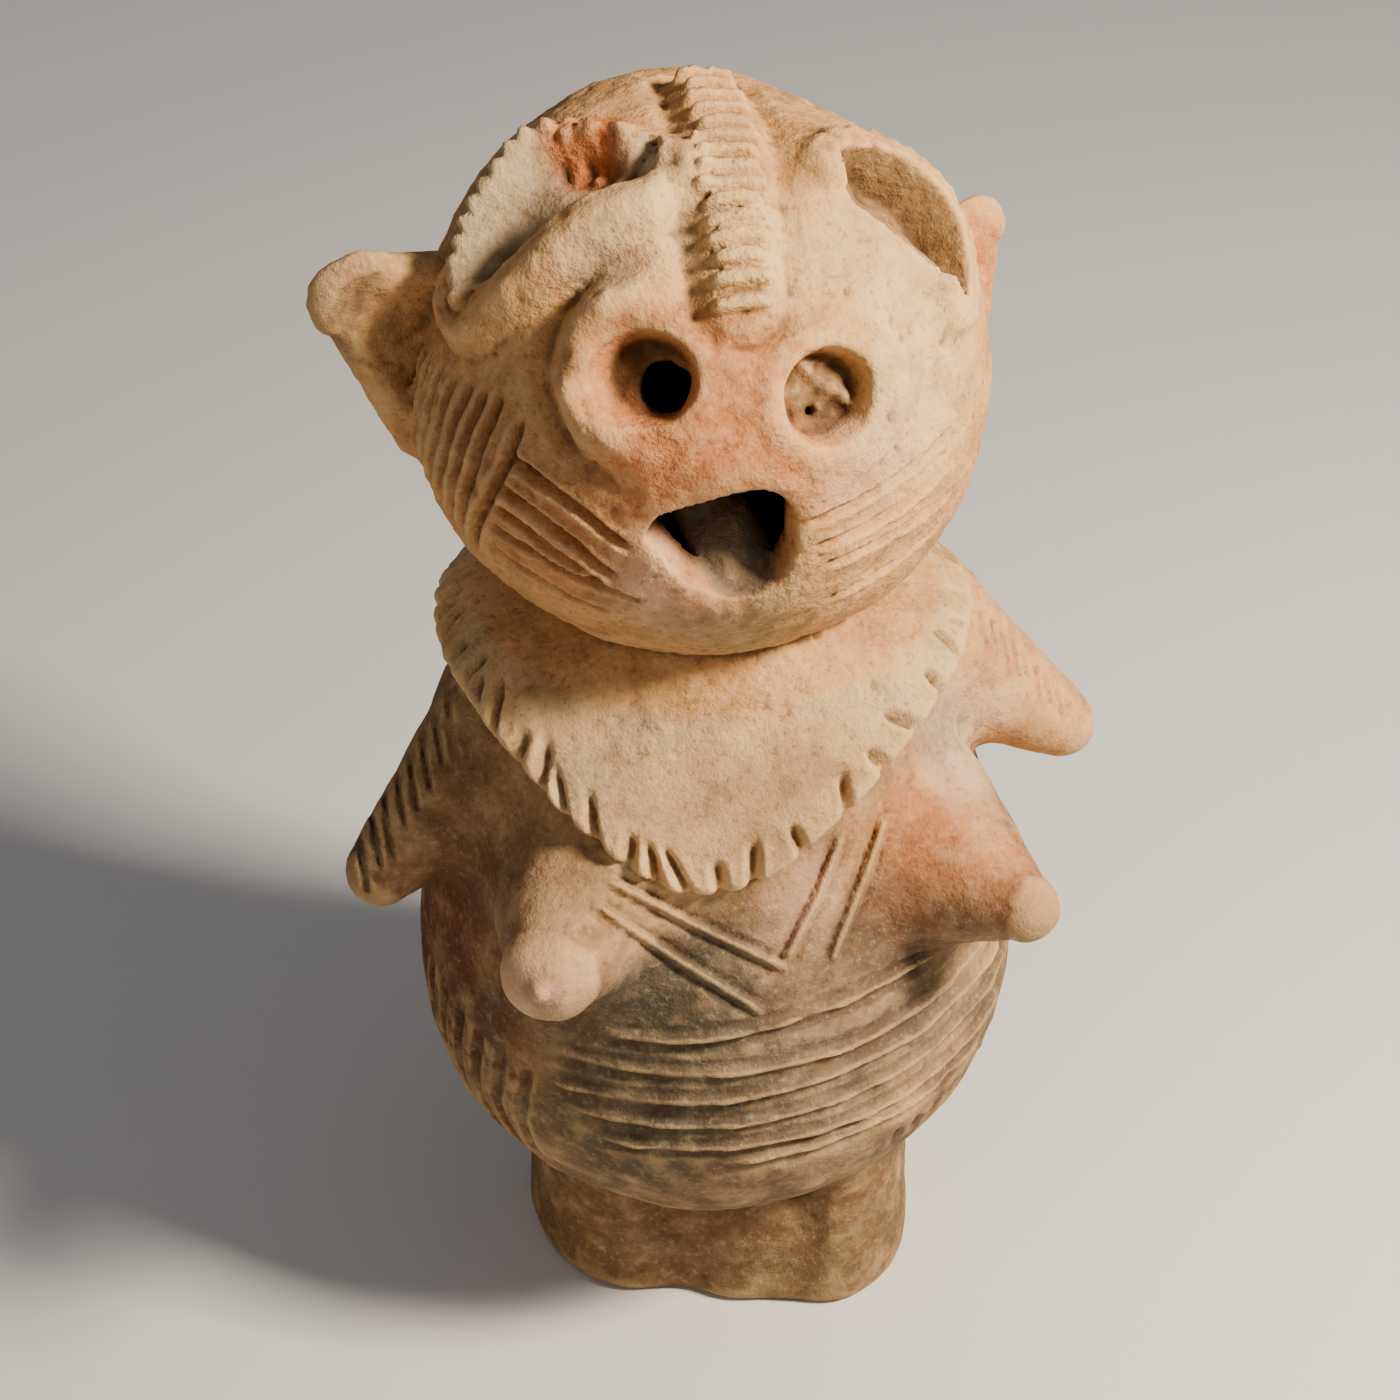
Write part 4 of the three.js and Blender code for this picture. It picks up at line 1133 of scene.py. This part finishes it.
def new_object(name, points, faces):
    mesh = bpy.data.meshes.new(name)
    mesh.vertices.add(len(points))
    mesh.vertices.foreach_set("co", np.asarray(points, np.float32).ravel())
    sides = faces.shape[1]
    mesh.loops.add(faces.size)
    mesh.loops.foreach_set("vertex_index", faces.astype(np.int32).ravel())
    mesh.polygons.add(len(faces))
    mesh.polygons.foreach_set("loop_start", np.arange(0, faces.size, sides, dtype=np.int32))
    mesh.update(calc_edges=True)
    mesh.validate()
    thing = bpy.data.objects.new(name, mesh)
    bpy.context.scene.collection.objects.link(thing)
    return thing


def thinned(thing, triangles):
    """Joins small faces until a count of triangles is left, most where the form is plain."""
    modifier = thing.modifiers.new("thin", "DECIMATE")
    modifier.ratio = triangles / (2 * len(thing.data.polygons))
    mesh = bpy.data.meshes.new_from_object(thing.evaluated_get(bpy.context.evaluated_depsgraph_get()))
    thing.modifiers.clear()
    old = thing.data
    thing.data = mesh
    bpy.data.meshes.remove(old)
    mesh.name = thing.name
    mesh.shade_smooth()
    return thing


def vertex_places(thing):
    places = np.empty(len(thing.data.vertices) * 3, np.float32)
    thing.data.vertices.foreach_get("co", places)
    return places.reshape(-1, 3).astype(float)


def seat(places):
    """Parts become metres, with the box's middle and underside on the frame's."""
    middle = (places.min(0) + places.max(0)) / 2
    away = places - (middle[0], middle[1], places[:, 2].min())
    seated = away * PART + ((cad_low.x + cad_high.x) / 2, (cad_low.y + cad_high.y) / 2, cad_low.z)
    return np.clip(seated, np.array(cad_low), np.array(cad_high))


def camera_axes(azimuth, elevation, aim_right, aim_up):
    """Right, up and back directions of a camera whose target lies off the middle of the frame."""
    turn, rise = math.radians(azimuth), math.radians(elevation)
    back = np.array([math.sin(turn) * math.cos(rise), -math.cos(turn) * math.cos(rise), math.sin(rise)])
    right = np.array([math.cos(turn), math.sin(turn), 0.0])
    up = np.cross(back, right)
    ahead = unit(-back - aim_right * right - aim_up * up)
    right = unit(right - ahead * (right @ ahead))
    return back, right, np.cross(right, ahead), -ahead


# The photograph's view: a frame 1400 pixels wide, and where the figure's middle falls in it
FRAME_PIXELS = 1400
FOCAL_PIXELS = 3026
MIDDLE_PIXEL = (714, 726)
CAMERA_AZIMUTH = -14
CAMERA_ELEVATION = 39
SENSOR = 36
AIM = Vector((-0.071, 0.971, 50))


def make_camera():
    data = bpy.data.cameras.new("camera")
    data.sensor_width = SENSOR
    data.lens = FOCAL_PIXELS * SENSOR / FRAME_PIXELS
    half = FRAME_PIXELS / 2
    aim_right = (MIDDLE_PIXEL[0] - half) / FOCAL_PIXELS
    aim_up = (half - MIDDLE_PIXEL[1]) / FOCAL_PIXELS
    back, right, up, behind = camera_axes(CAMERA_AZIMUTH, CAMERA_ELEVATION, aim_right, aim_up)
    camera = bpy.data.objects.new("camera", data)
    place = (AIM + Vector(back) * VIEW_DISTANCE) * PART
    turned = Matrix([right, up, behind]).transposed().to_4x4()
    camera.matrix_world = Matrix.Translation(place) @ turned
    bpy.context.scene.collection.objects.link(camera)
    bpy.context.scene.camera = camera


def srgb(red, green, blue):
    """A colour given as 0 to 255 on a screen becomes linear."""
    return np.array([((c / 255 + 0.055) / 1.055) ** 2.4 for c in (red, green, blue)])


# Clay colours
TAN = srgb(200, 154, 106)
CREAM = srgb(216, 184, 138)
ORANGE = srgb(200, 128, 86)
BROWN = srgb(120, 88, 62)
DARK_BROWN = srgb(78, 54, 38)
RED_BROWN = srgb(112, 66, 44)
OLIVE = srgb(148, 130, 98)
UMBER = srgb(136, 108, 76)
GREY_GREEN = srgb(178, 162, 132)
GREY = srgb(92, 84, 71)
PINK = srgb(212, 170, 148)
WHITISH = srgb(222, 212, 190)
BREAK_ORANGE = srgb(198, 114, 72)

# Stains on the head, and painted highlights on its right side and top: longitude, latitude, spread in
# degrees, colour and strength
HEAD_STAINS_AND_HIGHLIGHTS = [
    (-10, 14, 26, ORANGE, 0.75),
    (-30, 30, 12, ORANGE, 0.6),
    (-45, -6, 20, ORANGE, 0.45),
    (-20, -14, 16, PINK, 0.5),
    # painted highlights on the lit right side of the head, on this line and the next
    (35, 20, 22, CREAM, 0.8),
    (30, 48, 18, CREAM, 0.7),
    # painted highlight on the top of the head
    (-30, 62, 14, CREAM, 0.8),
    (-42, 47, 8, GREY_GREEN, 0.6),
    (*LEFT_NOSTRIL, 8, OLIVE, 0.7),
    (*RIGHT_NOSTRIL, 7.5, UMBER, 0.85),
    (-66, 8, 18, BROWN, 0.45),
    (-90, 45, 14, OLIVE, 0.7),
    (-8, -28, 18, OLIVE, 0.55),
    (60, -10, 20, TAN, 0.5),
    (20, 8, 12, PINK, 0.45),
    (96, 14, 14, ORANGE, 0.7),
    (-12, -12, 10, ORANGE, 0.5),
    # painted highlight on the top of the head
    (0, 60, 16, CREAM, 0.5),
]
BREAK_STAIN = (-75, 66, 8, BREAK_ORANGE, 1.0)
HEAD_BLOTCH_EDGE = (0.4, 1.2)
HEAD_BLOTCH_RAGGEDNESS = 0.3
EYE_STAINS = [
    (LEFT_EYE, LEFT_CREASE, LEFT_BROW, GREY_GREEN),
    (RIGHT_EYE, RIGHT_CREASE, RIGHT_BROW, UMBER),
]
EYE_STAIN = 0.85
EYE_STAIN_CHANGE = 0.15

# Stains on the body, and a painted shade under the right breast: angle, height, spread in parts, colour and
# strength
BODY_STAINS_AND_SHADE = [
    (-40, 47, 5.2, PINK, 0.95),
    (41, 46.5, 7.5, ORANGE, 0.6),
    # painted shade low on the right of the right breast, where its shadow falls
    (36, 40, 4, BROWN, 0.6),
    (-84, 47, 4, GREY, 0.8),
    (-28, 45, 3.5, GREY, 0.6),
    (-20, 43, 6.5, GREY, 0.95),
    (-25, 36, 8, GREY, 0.8),
    (0, 34, 9, GREY, 0.7),
    (30, 37, 6, GREY, 0.45),
    (-10, 46, 4, GREY, 0.5),
    (-30, 29, 8, GREY, 0.7),
    (10, 28, 7, OLIVE, 0.6),
    (40, 34, 7, OLIVE, 0.5),
    (-75, 38, 10, RED_BROWN, 0.9),
    (-80, 28, 10, DARK_BROWN, 0.75),
    (-60, 48, 7, BROWN, 0.75),
    (6, 49, 4, PINK, 0.5),
    (60, 52, 5, WHITISH, 0.35),
    (25, 44, 5, GREY, 0.5),
    (-8, 11, 7, RED_BROWN, 0.85),
    (-20, 16, 6, OLIVE, 0.5),
    (60, 12, 8, BROWN, 0.5),
]
BODY_BLOTCH_EDGE = (0.45, 1.25)
BODY_BLOTCH_RAGGEDNESS = 0.35

# Smoke on the front of the body: strength, and where it grows and ends
SMOKE = 0.7
SMOKE_PATCHES = (-0.5, 0.7)
SMOKE_FRONT = (4, 12)
SMOKE_TOP = (44, 52)

# Tones of the forms, and where each form's tone ends
BODY_TONE = srgb(156, 124, 90)
COLLAR_TONE = srgb(202, 168, 124)
FOOT_TONE = srgb(124, 98, 68)
TONGUE_TONE = srgb(126, 114, 92)
LEFT_ARM_TONE = srgb(134, 104, 76)
RIGHT_ARM_TONE = srgb(204, 152, 108)


ARM_TONE_EDGE = (-1, 2.5)
FOOT_TONE_EDGE = (17, 21)
FOOT_TONE_STRENGTH = 0.75
FOOT_RAGGEDNESS = 1.2
TONGUE_TONE_EDGE = (0.3, 0.9)

# The collar's worn colours, and where its tone ends
COLLAR_UMBER = 0.45
COLLAR_UMBER_PATCHES = (0.1, 1.0)
COLLAR_GREY_GREEN = 0.6
COLLAR_GREY_GREEN_PATCHES = (0.1, 0.9)
COLLAR_TONE_EDGE = (0.35, 1.1)
COLLAR_RAGGEDNESS = 0.1

# Patches that make the stains, the painted highlights and the painted shade ragged: the strength of each, and
# its noise as a width and a seed
BLOTCH_PATCHES = [(1, (4.5, 31)), (0.6, (1.7, 32))]

# The head's colour holds this near its skin and above this height
HEAD_TONE_EDGE = (3.4, 5.0)
HEAD_TONE_HEIGHT = 62


def mixed(tint, colour, share):
    return tint + (colour - tint) * np.clip(share, 0, 1)[:, None]


def fading(values, low, high):
    return 1 - smoothstep(values, low, high)


def collar_tint(patches):
    worn = np.tile(COLLAR_TONE, (len(patches), 1))
    worn = mixed(worn, UMBER, COLLAR_UMBER * smoothstep(patches, *COLLAR_UMBER_PATCHES))
    return mixed(worn, GREY_GREEN, COLLAR_GREY_GREEN * smoothstep(-patches, *COLLAR_GREY_GREEN_PATCHES))


def body_tint(points, patches):
    _, angle, height = torso(points)
    tint = np.tile(BODY_TONE, (len(points), 1))
    for arm, tone in zip(ARMS, (LEFT_ARM_TONE, RIGHT_ARM_TONE)):
        tint = mixed(tint, tone, fading(tapered(points, *arm), *ARM_TONE_EDGE))
    # stains on the body, with the painted shade under the right breast among them
    for turn, high, spread, colour, strength in BODY_STAINS_AND_SHADE:
        away = np.hypot((angle - turn) * DEGREE_AT_CHEST, height - high) / spread
        blotch = fading(away + BODY_BLOTCH_RAGGEDNESS * patches, *BODY_BLOTCH_EDGE)
        tint = mixed(tint, colour, strength * blotch)
    smoked = smoothstep(patches, *SMOKE_PATCHES) * smoothstep(-points[:, 1], *SMOKE_FRONT)
    tint = mixed(tint, GREY, SMOKE * smoked * fading(height, *SMOKE_TOP))
    footed = fading(points[:, 2] + FOOT_RAGGEDNESS * patches, *FOOT_TONE_EDGE)
    tint = mixed(tint, FOOT_TONE, FOOT_TONE_STRENGTH * footed)
    bib = fading(collar(points, False) + COLLAR_RAGGEDNESS * patches, *COLLAR_TONE_EDGE)
    return mixed(tint, collar_tint(patches), bib)


# Lays patches of colour round places on the head: its stains and its painted highlights
def blotched(skin, along, blotches, patches):
    for longitude, latitude, spread, colour, strength in blotches:
        away = np.degrees(turn_from(along, longitude, latitude)) / spread
        blotch = fading(away + HEAD_BLOTCH_RAGGEDNESS * patches, *HEAD_BLOTCH_EDGE)
        skin = mixed(skin, colour, strength * blotch)
    return skin


def head_tint(along, patches):
    """The head's colour, with the break's stain once under and once over the eyes' colours."""
    skin = np.tile(TAN, (len(along), 1))
    skin = blotched(skin, along, [*HEAD_STAINS_AND_HIGHLIGHTS, BREAK_STAIN], patches)
    for middle, crease, brow, colour in EYE_STAINS:
        strength = EYE_STAIN + EYE_STAIN_CHANGE * patches
        skin = mixed(skin, colour, inside_eye(along, middle, crease, brow) * strength)
    return blotched(skin, along, [BREAK_STAIN], patches)


def clay_tint(points):
    """The clay's colour at each place: a tone for each form, then its stains, painted highlights and painted
    shade.
    """
    patches = sum(height * clay_noise(points, *noise) for height, noise in BLOTCH_PATCHES)
    away = points - HEAD_CENTRE
    reach = lengths(away)
    along = away / reach[:, None]
    to_tongue = tongue(points)
    skin = mixed(head_tint(along, patches), TONGUE_TONE, fading(to_tongue, *TONGUE_TONE_EDGE))
    on_head = fading(np.abs(reach - head_radius(along)), *HEAD_TONE_EDGE)
    on_head = np.maximum(on_head, to_tongue < TONGUE_TONE_EDGE[1])
    share = (on_head * (points[:, 2] > HEAD_TONE_HEIGHT))[:, None]
    return body_tint(points, patches) * (1 - share) + skin * share


# Distances over which the inside's look begins at its walls and stops at the tongue
INNER_EDGE = (0.15, 1.6)
INNER_TONGUE_EDGE = (0.2, 0.8)


def inner_share(points):
    """1 on the walls of the empty inside and 0 on the outer skin and the tongue."""
    inside = fading(cavity(points, torso(points)[0]), *INNER_EDGE)
    return inside * smoothstep(tongue(points), *INNER_TONGUE_EDGE)


def carved_relief(points):
    """How far a place stands above the plain form, negative in hollows and grooves."""
    return figure(points, carved=False)


SMOOTHINGS = 5


def hollowness(thing, places):
    """How far each place lies below the mean of the skin round it: above zero in grooves."""
    mesh = thing.data
    edges = np.empty(len(mesh.edges) * 2, np.int32)
    mesh.edges.foreach_get("vertices", edges)
    normals = np.empty(len(places) * 3, np.float32)
    mesh.vertices.foreach_get("normal", normals)
    first, second = edges.reshape(-1, 2).T
    count = np.bincount(edges, minlength=len(places))
    mean = places
    ends = ((first, second), (second, first))
    for _ in range(SMOOTHINGS):
        total = [sum(np.bincount(own, mean[other, k], len(places)) for own, other in ends)
                 for k in range(3)]
        mean = np.stack(total, 1) / count[:, None]
    return np.einsum("ij,ij->i", mean - places, normals.reshape(-1, 3))


def add_attribute(thing, name, values):
    layer = thing.data.attributes.new(name, "FLOAT", "POINT")
    layer.data.foreach_set("value", np.asarray(values, np.float32))


def add_tint(thing, colours):
    layer = thing.data.attributes.new("tint", "FLOAT_COLOR", "POINT")
    full = np.ones((len(colours), 4), np.float32)
    full[:, :3] = colours
    layer.data.foreach_set("color", full.ravel())


class Nodes:
    """Short calls for building a material's nodes."""

    def __init__(self, material):
        self.tree = material.node_tree

    def add(self, kind, **settings):
        node = self.tree.nodes.new(kind)
        for name, value in settings.items():
            setattr(node, name, value)
        return node

    def link(self, output, socket):
        self.tree.links.new(output, socket)

    def attribute(self, name, output="Fac"):
        return self.add("ShaderNodeAttribute", attribute_name=name).outputs[output]

    def noise(self, place, scale, detail, roughness):
        node = self.add("ShaderNodeTexNoise")
        node.inputs["Scale"].default_value = scale
        node.inputs["Detail"].default_value = detail
        node.inputs["Roughness"].default_value = roughness
        self.link(place, node.inputs["Vector"])
        return node.outputs["Fac"]

    def ramp(self, value, low, high):
        node = self.add("ShaderNodeMapRange", interpolation_type="SMOOTHSTEP")
        node.inputs["From Min"].default_value = low
        node.inputs["From Max"].default_value = high
        self.link(value, node.inputs["Value"])
        return node.outputs["Result"]

    def times(self, value, factor):
        node = self.add("ShaderNodeMath", operation="MULTIPLY")
        self.link(value, node.inputs[0])
        if isinstance(factor, (int, float)):
            node.inputs[1].default_value = factor
        else:
            self.link(factor, node.inputs[1])
        return node.outputs[0]

    def plus(self, first, second):
        node = self.add("ShaderNodeMath", operation="ADD")
        self.link(first, node.inputs[0])
        self.link(second, node.inputs[1])
        return node.outputs[0]

    def mix(self, share, first, second, blend="MIX"):
        node = self.add("ShaderNodeMix", data_type="RGBA", blend_type=blend)
        self.link(share, node.inputs["Factor"])
        for source, socket in ((first, node.inputs[6]), (second, node.inputs[7])):
            if isinstance(source, bpy.types.NodeSocket):
                self.link(source, socket)
            else:
                socket.default_value = (*source, 1)
        return node.outputs[2]


# Noises of the clay's look, each with its scale, detail and roughness
MOTTLE = (55, 6, 0.62)
GRAIN = (420, 4, 0.6)
SPECKS = (900, 2, 0.5)
ROUGH_ZONES = (38, 3, 0.5)

# Veils of colour over the tint, in order: what drives each, where it starts and is full, its
# strength and its colour
VEILS = [
    ("mottle", 0.42, 0.72, 0.28, CREAM),
    ("mottle", 0.55, 0.28, 0.4, BROWN),
    ("grain", 0.52, 0.74, 0.2, WHITISH),
    ("grain", 0.46, 0.3, 0.35, DARK_BROWN),
    # painted shade: browner where the skin is sunk below the plain form
    ("relief", -0.3, -2.2, 0.3, BROWN),
    # painted shade: dark brown in grooves
    ("hollow", 0.02, 0.2, 0.62, DARK_BROWN),
    # painted highlight: cream on raised ridges
    ("hollow", -0.03, -0.16, 0.4, CREAM),
]
INNER_DARKNESS = 0.8
CLAY_ROUGHNESS = 0.9
CLAY_SHINE = 0.25

# Bumps too small for the mesh, the distance in metres
BUMP_STRENGTH = 0.75
BUMP_DISTANCE = 0.0016
BUMP_ZONE_EDGE = (0.35, 0.62)
BUMP_SPECKS = 0.25
BUMP_MOTTLE = 1.4


def clay_colour(nodes, mottle, grain):
    """The tint under its veils, among them painted shade in hollows and grooves and a painted highlight on
    ridges, and dark inside the figure.
    """
    drivers = {"mottle": mottle, "grain": grain}
    drivers["relief"] = nodes.attribute("relief")
    drivers["hollow"] = nodes.attribute("hollow")
    colour = nodes.attribute("tint", "Color")
    for driver, start, full, strength, veil in VEILS:
        share = nodes.times(nodes.ramp(drivers[driver], start, full), strength)
        colour = nodes.mix(share, colour, veil)
    return nodes.mix(nodes.times(nodes.attribute("inner"), INNER_DARKNESS), colour, DARK_BROWN)


def clay_bumps(nodes, place, mottle, grain):
    zones = nodes.ramp(nodes.noise(place, *ROUGH_ZONES), *BUMP_ZONE_EDGE)
    gritty_grain = nodes.times(nodes.times(grain, nodes.attribute("grit")), zones)
    specks = nodes.times(nodes.noise(place, *SPECKS), BUMP_SPECKS)
    height = nodes.plus(nodes.plus(gritty_grain, specks), nodes.times(mottle, BUMP_MOTTLE))
    raised = nodes.add("ShaderNodeBump")
    raised.inputs["Strength"].default_value = BUMP_STRENGTH
    raised.inputs["Distance"].default_value = BUMP_DISTANCE
    nodes.link(height, raised.inputs["Height"])
    return raised.outputs["Normal"]


def clay_material():
    material = bpy.data.materials.new("fired_clay")
    material.use_nodes = True
    nodes = Nodes(material)
    shader = material.node_tree.nodes["Principled BSDF"]
    place = nodes.add("ShaderNodeTexCoord").outputs["Object"]
    mottle = nodes.noise(place, *MOTTLE)
    grain = nodes.noise(place, *GRAIN)
    shader.inputs["Roughness"].default_value = CLAY_ROUGHNESS
    shader.inputs["Specular IOR Level"].default_value = CLAY_SHINE
    nodes.link(clay_colour(nodes, mottle, grain), shader.inputs["Base Color"])
    nodes.link(clay_bumps(nodes, place, mottle, grain), shader.inputs["Normal"])
    return material


def make_figure():
    thing = thinned(new_object("hollow_clay_figure", *skin_mesh()), TRIANGLES)
    places = vertex_places(thing)
    add_tint(thing, clay_tint(places))
    add_attribute(thing, "relief", carved_relief(places))
    add_attribute(thing, "hollow", hollowness(thing, places))
    add_attribute(thing, "inner", inner_share(places))
    add_attribute(thing, "grit", gritty(places[:, 2], GRIT_LOOK_RISE))
    thing.data.vertices.foreach_set("co", seat(places).astype(np.float32).ravel())
    thing.data.update()
    thing.data.materials.append(clay_material())
    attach(thing, "root")
    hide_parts("terracotta_figure")


# The floor and the studio, in metres
FLOOR_HALF = 6.0
FLOOR_COLOUR = (0.72, 0.71, 0.69, 1)
FLOOR_ROUGHNESS = 0.8


def make_floor():
    corners = [(-FLOOR_HALF, -FLOOR_HALF, 0), (FLOOR_HALF, -FLOOR_HALF, 0),
               (FLOOR_HALF, FLOOR_HALF, 0), (-FLOOR_HALF, FLOOR_HALF, 0)]
    floor = new_object("floor", np.array(corners), np.array([[0, 1, 2, 3]]))
    material = bpy.data.materials.new("floor")
    material.use_nodes = True
    shader = material.node_tree.nodes["Principled BSDF"]
    shader.inputs["Base Color"].default_value = FLOOR_COLOUR
    shader.inputs["Roughness"].default_value = FLOOR_ROUGHNESS
    floor.data.materials.append(material)


# Area lights: place, size, power and colour
LIGHTS = {
    "key": ((0.8, -0.62, 1.2), 0.26, 34, (1.0, 0.9, 0.76)),
    "fill": ((-1.2, -0.9, 0.8), 1.2, 3, (1.0, 0.87, 0.74)),
}
LIT_PLACE = Vector((0, 0, 0.28))
SKY_COLOUR = (0.9, 0.92, 1.0, 1)
SKY_STRENGTH = 0.2


def make_light(name, place, size, power, colour):
    data = bpy.data.lights.new(name, "AREA")
    data.size = size
    data.energy = power
    data.color = colour
    light = bpy.data.objects.new(name, data)
    light.location = place
    light.rotation_euler = (LIT_PLACE - Vector(place)).to_track_quat("-Z", "Y").to_euler()
    bpy.context.scene.collection.objects.link(light)


def make_studio():
    world = bpy.data.worlds.new("studio")
    world.use_nodes = True
    background = world.node_tree.nodes["Background"]
    background.inputs["Color"].default_value = SKY_COLOUR
    background.inputs["Strength"].default_value = SKY_STRENGTH
    bpy.context.scene.world = world
    for name, settings in LIGHTS.items():
        make_light(name, *settings)


make_camera()
bpy.context.scene.view_settings.look = "AgX - Medium High Contrast"
make_studio()
make_floor()
make_figure()
